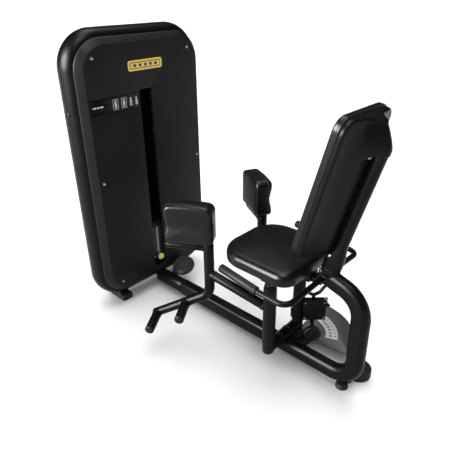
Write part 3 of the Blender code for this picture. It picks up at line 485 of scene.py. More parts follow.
def tower_shell():
    shape = bmesh.new()
    path = opening(0)
    count = len(path)
    section = [(-SURROUND_HALF_DEPTH * cos(a), SURROUND_THICK * sin(a) ** 0.92)
               for a in (pi * k / 28 for k in range(1, 28))]
    section = [(-SURROUND_HALF_DEPTH, 0.0), (-SURROUND_HALF_DEPTH + 0.0008, 0.004)] + section[1:-1] + [
        (SURROUND_HALF_DEPTH - 0.0008, 0.004), (SURROUND_HALF_DEPTH, 0.0)]
    rings = []
    for i, p in enumerate(path):
        along = (path[(i + 1) % count] - path[i - 1]).normalized()
        out = Vector((along.y, 0, -along.x))
        rings.append([Vector((p.x, SURROUND_MIDDLE + y, p.y)) + out * o for y, o in section])
    loft(shape, rings, closed=True)
    for x in (0.024, 0.050):
        block(shape, (x, 0.659, 0.085), (x + 0.006, 0.683, 0.090), soft=0.001)
        block(shape, (x, 0.659, 0.083), (x + 0.006, 0.683, 0.088), soft=0.001)
    bar(shape, (0.022, 0.671, 0.078), (0.058, 0.671, 0.078), 0.005, 20)
    piece("surround_ring", shape, PAINT, "frame", "tower_surround", sharp=50)

    shape = bmesh.new()
    cover(shape, 0.346, 0.110, 1.409, 0.118, TOWER_FRONT, 1, 0.032, 0.035,
          holes=(((-0.050, 0.028, 0.150, 1.187), 0.005, 0.012, False),
                 ((-0.3425, -0.054, 1.098, 1.178), 0.005, 0.003, True)))
    thicken(piece("front_cover", shape, SHELL, "frame", "front_shield", sharp=30), 0.004)

    shape = bmesh.new()
    prism(shape, opening(0.0004, radians(6)), -0.7365, -0.7275, FACE_ON, 0.001)
    cover(shape, 0.285, 0.190, 1.355, 0.110, TOWER_BACK, -1, 0.040, 0.0425)
    piece("rear_cover", shape, SHELL, "frame", "rear_shield", sharp=30)

    shape = bmesh.new()
    prism(shape, rectangle(0.1395, -0.0355, 0.0355, 0.004, radians(15)), 0.0008, 0.0024,
          Matrix.Translation((-0.1985, TOWER_FRONT + 0.003, 1.138)) @ FACE_ON, 0.0004)
    piece("placard_plate", shape, GLOSS, "frame", "placard")
    pictograms()

    shape = bmesh.new()
    flat = Matrix.Translation((0, TOWER_FRONT, 1.302)) @ FACE_ON
    prism(shape, rectangle(0.105, -0.0245, 0.0245, 0.012), GAP, 0.0024, flat, 0.0008)
    piece("badge_plate", shape, YELLOW, "frame", "badge")
    shape = bmesh.new()
    outer, inner = rectangle(0.094, -0.0155, 0.0155, 0.006), rectangle(0.0905, -0.012, 0.012, 0.003)
    loft(shape, [[flat @ Vector((p.x, p.y, z)) for p in ring] for ring, z in
                 ((outer, 0.0022), (outer, 0.0030), (inner, 0.0030), (inner, 0.0022))], closed=True)
    for k in range(5):
        prism(shape, rectangle(0.0085, -0.0065, 0.0065, 0.002, radians(30)), 0.0022, 0.0030,
              flat @ Matrix.Translation((0.032 * (k - 2), 0, 0)), 0.0002)
    piece("badge_border", shape, DARK_INK_AND_HOLE_SHADE, "frame")

    for _, label in SIDES:
        dress(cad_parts[f"tower_foot_{label}"], RUBBER)


def dress(node, material):
    """A finish for a CAD node that stays."""
    node.data.materials.clear()
    node.data.materials.append(material)
    for polygon in node.data.polygons:
        polygon.material_index = 0


def pictograms():
    """Plain marks on the placard: three short rules, and four plain figures, two of them framed."""
    shape = bmesh.new()
    flat = Matrix.Translation((0, TOWER_FRONT + 0.0007, 1.138)) @ FACE_ON

    def mark(x0, y0, x1, y1, turn=0.0):
        place = flat @ Matrix.Translation(((x0 + x1) / 2, (y0 + y1) / 2, 0)) @ Matrix.Rotation(turn, 4, "Z")
        half_x, half_y = (x1 - x0) / 2, (y1 - y0) / 2
        prism(shape, rectangle(half_x, -half_y, half_y, min(half_x, half_y) * 0.4, radians(30)), 0, 0.0004, place,
              0.0001)

    rules = (0.018, 0.012, 0.020)
    for k, width in enumerate(rules):
        start = -0.325 + sum(rules[:k]) + 0.004 * k
        mark(start, -0.004, start + width, 0.003)
    for k, x in enumerate((-0.212, -0.163, -0.116, -0.082)):
        wide = 0.030 if k < 2 else 0.020
        middle = x + wide / 2
        if k < 2:
            for low, high in ((-0.026, -0.0245), (0.0225, 0.024)):
                mark(x, low, x + wide, high)
            for dx in (0.0, wide - 0.0015):
                mark(x + dx, -0.025, x + dx + 0.0015, 0.023)
        mark(middle - 0.004, 0.010, middle + 0.004, 0.018)
        mark(middle - 0.006, -0.006, middle + 0.005, 0.008)
        mark(middle - 0.008, -0.010 + 0.003 * k, middle + 0.009, -0.007 + 0.003 * k, 0.5 - 0.3 * k)
        mark(middle - 0.006, -0.020, middle - 0.002, -0.008)
        mark(middle + 0.002, -0.020, middle + 0.006, -0.008)
    piece("placard_marks", shape, INK, "frame")


def stack():
    shape = bmesh.new()
    front, back = STACK_Y - STACK_HALF_DEPTH, STACK_Y + STACK_HALF_DEPTH

    def plate(shape, low, high):
        block(shape, (-STACK_HALF, front, low), (STACK_HALF, back, high), soft=0.0016)

    plate(shape, STACK_LOW, STACK_LOW + PLATE_PITCH - 0.0008)
    piece("stack_plate_low", shape, IRON, "weight_stack", "weight_plate_pinned")
    shape = bmesh.new()
    for k in range(1, PLATES):
        plate(shape, STACK_LOW + k * PLATE_PITCH, STACK_LOW + (k + 1) * PLATE_PITCH - 0.0008)
    piece("stack_plates", shape, IRON, "weight_stack", "weight_plates_upper")
    shape = bmesh.new()
    plate(shape, STACK_TOP, STACK_TOP + 0.027)
    turned(shape, [(0, 0.012), (0.016, 0.012), (0.018, 0.009), (0.018, 0), (0, 0)], (0, STACK_Y, STACK_TOP + 0.027))
    for s in (-1, 1):
        turned(shape, [(0.0105, 0.008), (0.017, 0.008), (0.018, 0.006), (0.018, 0), (0.0105, 0), (0.0105, 0.008)],
               (s * ROD_X, STACK_Y, STACK_TOP + 0.027))
    piece("stack_head", shape, PAINT, "weight_stack", "stack_top_plate")
    shape = bmesh.new()
    bar(shape, (0, STACK_Y, STACK_LOW + 0.001), (0, STACK_Y, STACK_TOP + 0.045), 0.008, 32, 0.001)
    piece("stack_rod", shape, STEEL, "weight_stack", "selector_rod")

    labels, digits = bmesh.new(), bmesh.new()
    for k in range(PLATES):
        z = STACK_LOW + (k + 0.5) * PLATE_PITCH - 0.0004
        x = 0.0 if k else -0.032
        place = Matrix.Translation((x, front, z)) @ FACE_ON
        prism(labels, rectangle(0.0125, -0.0062, 0.0062, 0.001, radians(30)), 0.0001, 0.0005, place, 0.0001)
        lettering(digits, str(5 * (PLATES - k)), Matrix.Translation((x, front - 0.0007, z)) @ FACE_ON
                  @ Matrix.Diagonal((1.4, 1, 1, 1)), 0.0115, bold=0.0004)
    piece("plate_labels", labels, DARK_INK_AND_HOLE_SHADE, "weight_stack")
    piece("plate_numbers", digits, INK, "weight_stack")

    shape = bmesh.new()
    bar(shape, (0, front - 0.012, PIN_Z), (0, STACK_Y + 0.022, PIN_Z), 0.0042, 24, 0.001)
    piece("pin_shank", shape, STEEL, "selector_pin", "selector_pin")
    shape = bmesh.new()
    turned(shape, [(0, 0.022), (0.010, 0.0215), (0.0165, 0.017), (0.0192, 0.011), (0.0195, 0.006), (0.0172, 0.001),
                   (0.015, 0.0), (0, 0.0)], (0, front - 0.0123, PIN_Z), -Y)
    for k in range(12):
        a = 2 * pi * k / 12
        out = Vector((cos(a), 0, sin(a)))
        bar(shape, Vector((0, front - 0.0155, PIN_Z)) + out * 0.0186, Vector((0, front - 0.0245, PIN_Z)) + out * 0.0180,
            0.0014, 10, 0.0005)
    piece("pin_knob", shape, YELLOW, "selector_pin", "selector_knob")

    for side, label in SIDES:
        x = side * ROD_X
        shape = bmesh.new()
        bar(shape, (x, STACK_Y, 0.1223), (x, STACK_Y, 1.3747), 0.0095, 40, 0.0008)
        piece(f"guide_bar_{label}", shape, STEEL, "frame", f"guide_rod_{label}")
        shape = bmesh.new()
        turned(shape, [(0.0107, 0.067), (0.021, 0.067), (0.0238, 0.0635), (0.024, 0.058), (0.0205, 0.050),
                       (0.024, 0.042), (0.0205, 0.034), (0.024, 0.026), (0.0205, 0.018), (0.024, 0.010), (0.024, 0.003),
                       (0.022, 0), (0.0107, 0), (0.0107, 0.067)], (x, STACK_Y, 0.1223))
        piece(f"bumper_{label}", shape, RUBBER, "frame", f"stack_bumper_{label}")
    for name in ("stack_base", "top_beam"):
        dress(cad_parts[name], PAINT)
    dress(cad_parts["stack_cable"], CABLE)


def cable_run():
    stack_point, drop_point = Vector((0, STACK_Y, 0)), Vector((CABLE_X, 0.712, 0))
    across = drop_point - stack_point
    radius, forward = across.length / 2, across.normalized()
    centre = (stack_point + drop_point) / 2 + Z * TOP_PULLEY_Z
    axis = Vector((forward.y, -forward.x, 0))
    for name, at, spin, groove in (("top_pulley", centre, axis, radius),
                                   ("low_pulley", LOW_PULLEY, X, LOW_PULLEY_RADIUS)):
        shape = bmesh.new()
        edge, root = groove + 0.006, groove - 0.0048
        turned(shape, [(0.0055, 0.006), (0.012, 0.006), (0.013, 0.0045), (root - 0.006, 0.0035), (root - 0.004, 0.006),
                       (edge - 0.0008, 0.006), (edge, 0.0052), (root, 0.0030), (root, -0.0030), (edge, -0.0052),
                       (edge - 0.0008, -0.006), (root - 0.004, -0.006), (root - 0.006, -0.0035), (0.013, -0.0045),
                       (0.012, -0.006), (0.0055, -0.006), (0.0055, 0.006)], at, spin, 64)
        piece(name + "_wheel", shape, RUBBER, name, name)
    arc = [centre - forward * radius * cos(a) + Z * radius * sin(a) for a in (pi * k / 32 for k in range(33))]
    low = [LOW_PULLEY + LOW_PULLEY_RADIUS * Vector((0, cos(a), -sin(a))) for a in (pi / 2 * k / 16 for k in range(17))]
    shape = bmesh.new()
    sweep(shape, [*arc, *low, Vector((CABLE_X, 0.1, CABLE_Z)), Vector((CABLE_X, PIVOT_Y + 0.004, CABLE_Z))],
          circle(CABLE_RADIUS, 16), soft=0.0005)
    piece("cable_line", shape, CABLE, "frame", "drive_cable")


# ---- frame ----------------------------------------------------------------------------------------


def framework():
    shape = bmesh.new()
    box_section = [(p.x, p.y) for p in rectangle(OVAL_X, -OVAL_Z, OVAL_Z, 0.017, radians(10))]
    base = Vector((0, 0, BEAM_Z))
    sweep(shape, (base + Y * -0.260, base, base + Y * 0.3647), box_section, side=X)
    piece("floor_beam", shape, PAINT, "frame", "main_beam")
    shape = bmesh.new()
    sweep(shape, (base + Y * 0.365, base + Y * 0.45, base + Y * 0.581), oval(OVAL_X + 0.002, OVAL_Z + 0.002), side=X,
          soft=0.003)
    piece("front_sleeve", shape, PAINT, "frame", "beam_sleeve")

    shape = bmesh.new()
    path = rounded([((0, -0.2603, BEAM_Z), 0), ((0, -0.738, BEAM_Z), 0.105), (LOOP_TOP, 0.130), (LOOP_END, 0)],
                   step=radians(3))
    sweep(shape, path, oval(OVAL_X, OVAL_Z, 56), side=X, soft=0.004)
    lean_up = LEAN.to_3x3() @ Z
    sweep(shape, (BACK_FOOT, BACK_FOOT + lean_up * 0.024, BACK_FOOT + lean_up * 0.048), oval(OVAL_X, OVAL_Z), side=X,
          soft=0.001)
    bar(shape, (-PIVOT_X, PIVOT_Y, 0.111), (PIVOT_X, PIVOT_Y, 0.111), 0.029, 48)
    for s in (-1, 1):
        turned(shape, [(0.0165, 0), (0.0255, 0), (0.0275, 0.003), (0.0275, 0.0565), (0.026, 0.0595), (0.0165, 0.0595),
                       (0.0165, 0)], (s * PIVOT_X, PIVOT_Y, 0.086))
        weld_bead(shape, (s * 0.034, PIVOT_Y, 0.111), X, 0.0295, 0.0022, side=Z)
        weld_bead(shape, (s * (PIVOT_X - 0.022), PIVOT_Y, 0.111), X, 0.0280, 0.0020, side=Z)
    block(shape, (0.005, -0.726, 0.034), (0.118, -0.690, 0.046), soft=0.002)
    weld_bead(shape, BACK_FOOT + lean_up * 0.012, lean_up, 0.0345, 0.0022, stretch=1.32)
    piece("rear_weldment", shape, PAINT, "frame", "rear_frame")

    shape = bmesh.new()
    turned(shape, [(0, 0.029), (0.0265, 0.029), (0.0268, 0.012), (0.0290, 0.009), (0.0290, 0.002), (0.0275, 0.0),
                   (0, 0)], (0, -0.690, 0))
    piece("rear_foot_pad", shape, RUBBER, "frame", "rear_foot")
    shape = bmesh.new()
    turned(shape, [(0, 0.050), (0.020, 0.050), (0.022, 0.0485), (0.048, 0.0485), (0.0545, 0.0465), (0.058, 0.041),
                   (0.058, 0.030), (0.0568, 0.028), (0.058, 0.026), (0.058, 0.006), (0.0555, 0.001), (0.053, 0.0),
                   (0, 0)], (0.118, -0.708, 0), steps=72)
    piece("stabiliser_pad", shape, RUBBER, "frame", "stabiliser_foot")

    shape = bmesh.new()
    block(shape, (-0.150, PIVOT_Y - 0.040, 0.4955), (0.150, PIVOT_Y + 0.040, 0.520), soft=0.005)
    block(shape, (-0.035, -0.495, 0.4965), (0.035, -0.140, 0.5345), soft=0.004)
    block(shape, (-0.022, -0.545, 0.4975), (0.022, -0.480, 0.5245), soft=0.003)
    for y in (PIVOT_Y + 0.020, -0.180):
        block(shape, (-0.130, y, 0.515), (0.130, y + 0.030, 0.5345), soft=0.002)
    for s in (-1, 1):
        turned(shape, [(0, 0.032), (0.010, 0.032), (0.013, 0.0285), (0.022, 0.0275), (0.026, 0.0235), (0.026, 0.002),
                       (0.0245, 0), (0, 0)], (s * PIVOT_X, PIVOT_Y, 0.4745))
        block(shape, (s * PIVOT_X - 0.030, PIVOT_Y - 0.032, 0.488), (s * PIVOT_X + 0.030, PIVOT_Y + 0.032, 0.496),
              soft=0.002)
    prism(shape, rounded([((-0.185, -0.470, 0), 0.06), ((0.185, -0.470, 0), 0.06), ((0.180, -0.115, 0), 0.12),
                          ((-0.180, -0.115, 0), 0.12)], cyclic=True, step=radians(8)), 0.5300, 0.5349, None, 0.001)
    piece("seat_carrier", shape, PAINT, "frame", "seat_frame")

    shape = bmesh.new()
    for s in (-1, 1):
        for dx, dy in ((-0.022, -0.026), (0.022, -0.026), (-0.022, 0.026), (0.022, 0.026)):
            bolt(shape, (s * PIVOT_X + dx, PIVOT_Y + dy, 0.4885), -Z, 0.0042)
        bolt(shape, (s * 0.150, PIVOT_Y + 0.018, 0.508), X * s, 0.0050)
        bolt(shape, (s * 0.035, -0.20, 0.516), X * s, 0.0045)
        bolt(shape, (s * 0.035, -0.44, 0.514), X * s, 0.0050)
    for x, y, z in ((-0.030, 0.0235, 0.580), (-0.020, 0.022, 0.116), (0.030, 0.0235, 0.580), (0.020, 0.022, 0.116)):
        outward = Vector((x * 20, -1, 0)).normalized()
        bolt(shape, LEAN @ Vector((x * 1.2, y - 0.004, z)), LEAN.to_3x3() @ outward, 0.0068)
    for x, z in COVER_SCREWS:
        bolt(shape, (x, TOWER_FRONT - 0.0006, z), -Y, 0.0060, washer=False)
    for x, z in ((-0.255, 1.30), (0.255, 1.30), (-0.255, 0.25), (0.255, 0.25), (-0.268, 0.77), (0.268, 0.77)):
        bolt(shape, (x, TOWER_BACK - 0.0045, z), Y, 0.0050, washer=False)
    piece("frame_screws", shape, STEEL, "frame")

    shape = bmesh.new()
    for x, z in COVER_SCREWS:
        turned(shape, [(0.0062, 0.0002), (0.0080, 0.0004), (0.0098, 0.0012), (0.0106, 0.0004), (0.0106, -0.002),
                       (0.0062, -0.002), (0.0062, 0.0002)], (x, TOWER_FRONT, z), -Y, 40)
    piece("screw_cups", shape, DARK_INK_AND_HOLE_SHADE, "frame")

    shape = bmesh.new()
    for s in (-1, 1):
        turned(shape, [(0, 0.0065), (0.006, 0.006), (0.0105, 0.0042), (0.0125, 0.001), (0.0125, -0.006), (0, -0.006)],
               (s * 0.3985, 0.650, 1.110), X * s)
    piece("surround_caps", shape, RUBBER, "frame")

    shape = bmesh.new()
    tilt = Vector((-0.40, -0.10, 0.93)).normalized()
    turned(shape, [(0, 0.0125), (0.050, 0.0125), (0.0525, 0.0105), (0.056, 0.0105), (0.0585, 0.012), (0.0635, 0.009),
                   (0.067, 0.004), (0.067, -0.009), (0.0655, -0.012), (0, -0.012)], (0.107, 0.484, 0.115), tilt, 72)
    block(shape, (0.0323, 0.460, 0.084), (0.110, 0.510, 0.100), soft=0.004)
    piece("round_cover", shape, COVER_TOP, "frame", "pulley_cover")


def smoothstep(low, high, value):
    t = min(1.0, max(0.0, (value - low) / (high - low)))
    return t * t * (3 - 2 * t)


def back_surface(x, z):
    """Where the moulded shell's back face stands in Y, in the backrest's leaning frame: a flared
    panel, and a hood that covers the tube's end."""
    a = abs(x)
    ridge = 0.0216
    flare = ridge + (0.0750 - ridge) * smoothstep(0.008, 0.166, a)
    top_fade = smoothstep(0.600, 0.704, z)
    flare += (0.0760 - flare) * top_fade * 0.75
    low_fade = 1 - smoothstep(0.103, 0.150, z)
    flare += (0.0720 - flare) * low_fade * 0.35
    if z < 0.440 or a > 0.110:
        return flare
    lift = max(0.0, (z - 0.612) / 0.092) ** 1.25
    half = 0.0285 * (1 - 0.12 * lift)
    centre_y = -0.0040 + lift * 0.056
    bend = half * 0.793
    hood = centre_y - sqrt(half * half - a * a) if a < bend else centre_y - 0.609 * half + (a - bend) * 1.3
    beside = max(0.0, a - half)
    strength = smoothstep(0.576 - 1.4 * beside, 0.590 + 0.4 * beside, z)
    blend = 0.030
    h = max(0.0, min(1.0, 0.5 + 0.5 * (hood - flare) / blend))
    joined = hood * (1 - h) + flare * h - blend * h * (1 - h)
    return flare + (joined - flare) * strength


def backrest():
    """The post, the moulded shell on it, its plugs and the back pad."""
    shape = bmesh.new()
    rings, oval_section = [], oval(OVAL_X, OVAL_Z, 56)
    round_section = [(BACK_TUBE_RADIUS * cos(a), BACK_TUBE_RADIUS * sin(a))
                     for a in (2 * pi * (k + 0.5) / 56 for k in range(56))]
    for z in [0.0484] + [0.049 + 0.151 * k / 20 for k in range(21)] + [0.25, 0.40, 0.55, 0.612]:
        t = smoothstep(0.085, 0.185, z)
        scale = 0.976 if z < 0.0486 else 1.0
        rings.append([LEAN @ Vector(((o[0] * (1 - t) + c[0] * t) * scale,
                                     (o[1] * (1 - t) + c[1] * t) * scale + BACK_TUBE_Y * t, z))
                      for o, c in zip(oval_section, round_section)])
    loft(shape, rings)
    piece("back_post", shape, PAINT, "frame", "back_tube")

    shape = bmesh.new()
    soft, half, low, high = 0.011, 0.172, 0.103, 0.704
    rows, columns = 120, 72
    zs = [low + soft + (high - low - 2 * soft) * k / rows for k in range(rows + 1)]

    def half_at(z):
        """Half the width at a height, drawn in at the round corners."""
        inner, bottom, top = half - soft, 0.060 - soft, 0.055 - soft
        if z < low + soft + bottom:
            return inner - bottom + sqrt(max(0, bottom ** 2 - (low + soft + bottom - z) ** 2))
        if z > high - soft - top:
            return inner - top + sqrt(max(0, top ** 2 - (z - high + soft + top) ** 2))
        return inner

    def warped(t):
        return 0.55 * t + 0.45 * t * abs(t)

    grid = []
    for z in zs:
        w = half_at(z)
        grid.append([shape.verts.new((w * warped(2 * k / columns - 1), 0, z)) for k in range(columns + 1)])
    for row in grid:
        for v in row:
            v.co.y = back_surface(v.co.x, v.co.z)
    for r in range(rows):
        for c in range(columns):
            shape.faces.new((grid[r][c], grid[r][c + 1], grid[r + 1][c + 1], grid[r + 1][c]))
    loop = (grid[0] + [grid[r][-1] for r in range(1, rows)] + grid[-1][::-1]
            + [grid[r][0] for r in range(rows - 1, 0, -1)])
    count = len(loop)
    outs = []
    for i, v in enumerate(loop):
        along = (loop[(i + 1) % count].co - loop[i - 1].co)
        along.y = 0
        along.normalize()
        outs.append(Vector((along.z, 0, -along.x)))
    for _ in range(3):
        outs = [(outs[i - 1] + outs[i] * 2 + outs[(i + 1) % count]).normalized() for i in range(count)]
    start = [v.co.copy() for v in loop]
    front = 0.0992
    previous = loop
    curl = [(soft * sin(a), soft * (1 - cos(a))) for a in (pi / 12, pi / 6, pi / 4, pi / 3, 5 * pi / 12, pi / 2)]
    for out, forward in curl + [(soft, None), (soft - 0.0015, "front")]:
        made = []
        for p, o in zip(start, outs):
            q = p + o * out
            if forward is None:
                q.y = front - 0.0015
            elif forward == "front":
                q.y = front
            else:
                q.y = min(p.y + forward, front - 0.004)
            made.append(shape.verts.new(q))
        for i in range(count):
            j = (i + 1) % count
            shape.faces.new((previous[i], previous[j], made[j], made[i]))
        previous = made
    shape.faces.new(previous)
    bmesh.ops.transform(shape, matrix=LEAN, verts=shape.verts)
    piece("back_moulding", shape, MOULDED, "frame", "back_shell", sharp=60)

    shape = bmesh.new()
    for x, z in ((-0.140, 0.600), (-0.140, 0.160), (0.140, 0.600), (0.140, 0.160)):
        y = back_surface(x, z)
        turned(shape, [(0, 0.0004), (0.0034, 0.0004), (0.0042, 0.0010), (0.0046, 0.0002), (0.0046, -0.004),
                       (0, -0.004)], LEAN @ Vector((x, y, z)), LEAN.to_3x3() @ -Y, 24)
    piece("shell_plugs", shape, DARK_INK_AND_HOLE_SHADE, "frame")

    soft_pad("back_pad", rectangle(0.1685, 0.1095, 0.7075, 0.058, radians(5), 0.053), 0.1003, 0.1285, 0.008, 0.003,
             LEAN @ Matrix(((1, 0, 0, 0), (0, 0, 1, 0), (0, 1, 0, 0), (0, 0, 0, 1))), "frame", "back_cushion",
             cap=0.002, seams=((0.1020, 0.0), (0.1085, 0.0)), hold=0.106, foot=0.0015)


# ---- soft goods -----------------------------------------------------------------------------------


FRAMES, EVENING_PASSES = 20, 90


def puff(obj, place, hold, cap, pressure):
    """Blows a closed form up a little, as foam fills its cover. Points under the held height stay. Only
    the cloth's shift along the normals is kept, cut off at the cap and evened out over the mesh, so
    the pad keeps nearly its modelled form."""
    mesh = obj.data
    back = place.inverted()
    held = [(back @ v.co).z < hold for v in mesh.vertices]
    group = obj.vertex_groups.new(name="held")
    group.add([v.index for v in mesh.vertices if held[v.index]], 1.0, "REPLACE")
    rest, normals = [v.co.copy() for v in mesh.vertices], [v.normal.copy() for v in mesh.vertices]
    cloth = obj.modifiers.new("cloth", "CLOTH")
    settings = cloth.settings
    settings.quality, settings.mass = 4, 0.3
    settings.tension_stiffness = settings.compression_stiffness = settings.shear_stiffness = 20
    settings.bending_stiffness = 3
    settings.use_pressure, settings.uniform_pressure_force = True, pressure
    settings.vertex_group_mass = "held"
    settings.effector_weights.gravity = 0
    cloth.point_cache.frame_start, cloth.point_cache.frame_end = 1, FRAMES
    scene = bpy.context.scene
    for k in range(1, FRAMES + 1):
        scene.frame_set(k)
    moved = bpy.data.meshes.new_from_object(obj.evaluated_get(bpy.context.evaluated_depsgraph_get()))
    lift = [min(cap, max(-cap, (v.co - r).dot(n))) for v, r, n in zip(moved.vertices, rest, normals)]
    obj.modifiers.clear()
    obj.vertex_groups.clear()
    bpy.data.meshes.remove(moved)
    near = [[] for _ in rest]
    for edge in mesh.edges:
        i, j = edge.vertices
        near[i].append(j)
        near[j].append(i)
    for _ in range(EVENING_PASSES):
        lift = [0.0 if held[i] else 0.4 * lift[i] + 0.6 * sum(lift[j] for j in near[i]) / len(near[i])
                for i in range(len(lift))]
    for v, r, n, s in zip(mesh.vertices, rest, normals, lift):
        v.co = r + n * s
    scene.frame_set(1)


def soft_pad(name, outline, low, high, edge, crown, place, body, node, cap=0.006, pressure=4.0, seams=(), hold=0.0,
             bend=None, foot=0.004):
    """A pad on an outline: a rounded foot, straight sides, a rounded edge and a crowned face."""
    shape = bmesh.new()
    middle = sum(outline, Vector()) / len(outline)
    count = len(outline)
    inward = []
    for i in range(count):
        along = (outline[(i + 1) % count] - outline[i - 1]).normalized()
        inward.append(Vector((-along.y, along.x, 0)))

    def ring(inset, z, scale=1.0):
        points = [middle + (p + n * inset - middle) * scale for p, n in zip(outline, inward)]
        return [Vector((p.x, p.y, z)) for p in points]

    rings = [ring(foot * (1 - sin(a)), low + foot * (1 - cos(a))) for a in (0, pi / 6, pi / 3, pi / 2)]
    rings += [ring(0, low + (high - edge - low) * t) for t in (0.4, 0.7, 1.0)]
    rings += [ring(edge * (1 - cos(a)), high - edge * (1 - sin(a))) for a in (pi / 12 * k for k in range(1, 6))]
    inner = ring(edge, high)
    for k in range(9):
        s = 1 - k / 9
        rings.append([middle + Vector(((p.x - middle.x) * s, (p.y - middle.y) * s, high + crown * (1 - s * s)))
                      for p in inner])
    made = loft(shape, rings, caps=False)
    top = shape.verts.new((middle.x, middle.y, high + crown))
    last = made[-1]
    for i in range(count):
        shape.faces.new((last[i], last[(i + 1) % count], top))
    shape.faces.new(made[0][::-1])
    if bend:
        for v in shape.verts:
            v.co = bend(v.co)
    bmesh.ops.transform(shape, matrix=place, verts=shape.verts)
    obj = piece(name, shape, LEATHER, body, node, sharp=75, padded=0.85)
    puff(obj, place, hold or low + 0.002, cap, pressure)
    fine = obj.modifiers.new("fine", "SUBSURF")
    fine.levels = fine.render_levels = 1
    if not seams:
        return obj
    tree = BVHTree.FromObject(obj, bpy.context.evaluated_depsgraph_get())
    shape = bmesh.new()
    for z, inset in seams:
        path = []
        for p in ring(inset, z):
            spot = place @ (bend(p) if bend else p)
            near, normal, _, _ = tree.find_nearest(spot)
            path.append(near + normal * 0.0002)
        path = [(path[i - 1] + path[i] + path[(i + 1) % count]) / 3 for i in range(count)]
        rings = []
        for i in range(count):
            along = (path[(i + 1) % count] - path[i - 1]).normalized()
            near, normal, _, _ = tree.find_nearest(path[i])
            side = normal.cross(along).normalized()
            lift = side.cross(along).normalized() * -1
            rings.append([path[i] + side * 0.0011 * cos(b) + lift * 0.0011 * sin(b)
                          for b in (2 * pi * j / 8 for j in range(8))])
        loft(shape, rings, closed=True)
    piece(name + "_piping", shape, SEAM, body, sharp=80)
    return obj


def seat():
    outline = rounded([((-0.205, -0.495, 0), 0.070), ((0.205, -0.495, 0), 0.070), ((0.201, -0.088, 0), 0.140),
                       ((-0.201, -0.088, 0), 0.140)], cyclic=True, step=radians(4))

    def sag(p):
        side = smoothstep(0.540, 0.570, p.z)
        return Vector((p.x * (1 - 0.012 * (1 - side)), p.y, p.z))

    soft_pad("seat_pad", outline, 0.5352, 0.5950, 0.030, 0.0090, Matrix(), "frame", "seat_cushion", cap=0.004,
             hold=0.541, bend=sag, foot=0.005)


def knee_pad(side, label):
    turn = Matrix.Translation((side * POST_X, POST_Y, 0)) @ Matrix.Rotation(-side * PAD_SPREAD, 4, "Z")
    frame_of_pad = turn @ Matrix(((0, 0, side, 0), (1, 0, 0, 0), (0, 1, 0, 0), (0, 0, 0, 1)))
    outline = rounded([((-0.030, 0.600, 0), 0.022), ((0.197, 0.600, 0), 0.022), ((0.197, 0.782, 0), 0.030),
                       ((-0.030, 0.782, 0), 0.030)], cyclic=True, step=radians(6))
    outline = [q for i, p in enumerate(outline)
               for q in ([p] if (outline[(i + 1) % len(outline)] - p).length < 0.03 else
                         [p.lerp(outline[(i + 1) % len(outline)], t / 10) for t in range(10)])]

    def waist(p):
        front = smoothstep(-0.020, 0.043, p.z)
        hollow = 0.011 * exp(-((p.y - 0.688) / 0.040) ** 2) * front
        arch = 0.007 * (1 - ((p.x - 0.0835) / 0.112) ** 2) * smoothstep(0.70, 0.776, p.y)
        pinch = 0.004 * exp(-((p.y - 0.688) / 0.030) ** 2) * (p.x - 0.0835) / 0.11 * front
        return Vector((p.x - pinch, p.y + arch, p.z - hollow))

    soft_pad(f"{label}_pad", outline, -0.0435, 0.0425, 0.017, 0.0015, frame_of_pad, f"{label}_lever",
             f"{label}_knee_pad", cap=0.0025, hold=-0.042, bend=waist, foot=0.014, seams=((0.018, 0.0),))


# ---- handlebars and levers ------------------------------------------------------------------------


def handlebars():
    for side, label in SIDES:
        root, corner = Vector((side * 0.0312, -0.556, 0.546)), Vector((side * 0.279, -0.550, 0.531))
        start, end = Vector((side * 0.279, -0.415, 0.537)), Vector((side * 0.279, -0.212, 0.567))
        along = (end - start).normalized()
        shape = bmesh.new()
        path = rounded([(root, 0), (corner, 0.045), (start, 0.2), (end, 0)])
        sweep(shape, path, circle(0.0125))
        weld_bead(shape, root + (path[1] - root).normalized() * 0.002, path[1] - root, 0.0128, 0.0018, 32)
        piece(f"bar_{label}", shape, PAINT, "frame", f"handlebar_{label}")
        shape = bmesh.new()
        length = (end - start).length - 0.004
        turned(shape, [(0.0131, 0), (0.0170, 0), (0.0195, 0.0015), (0.0195, 0.006), (0.0185, 0.009),
                       (0.0182, length * 0.5), (0.0185, length - 0.004), (0.0165, length - 0.0008),
                       (0.0120, length), (0, length)], start + along * 0.012, along, 48)
        piece(f"hand_grip_{label}", shape, GRIP, "frame", f"grip_{label}")


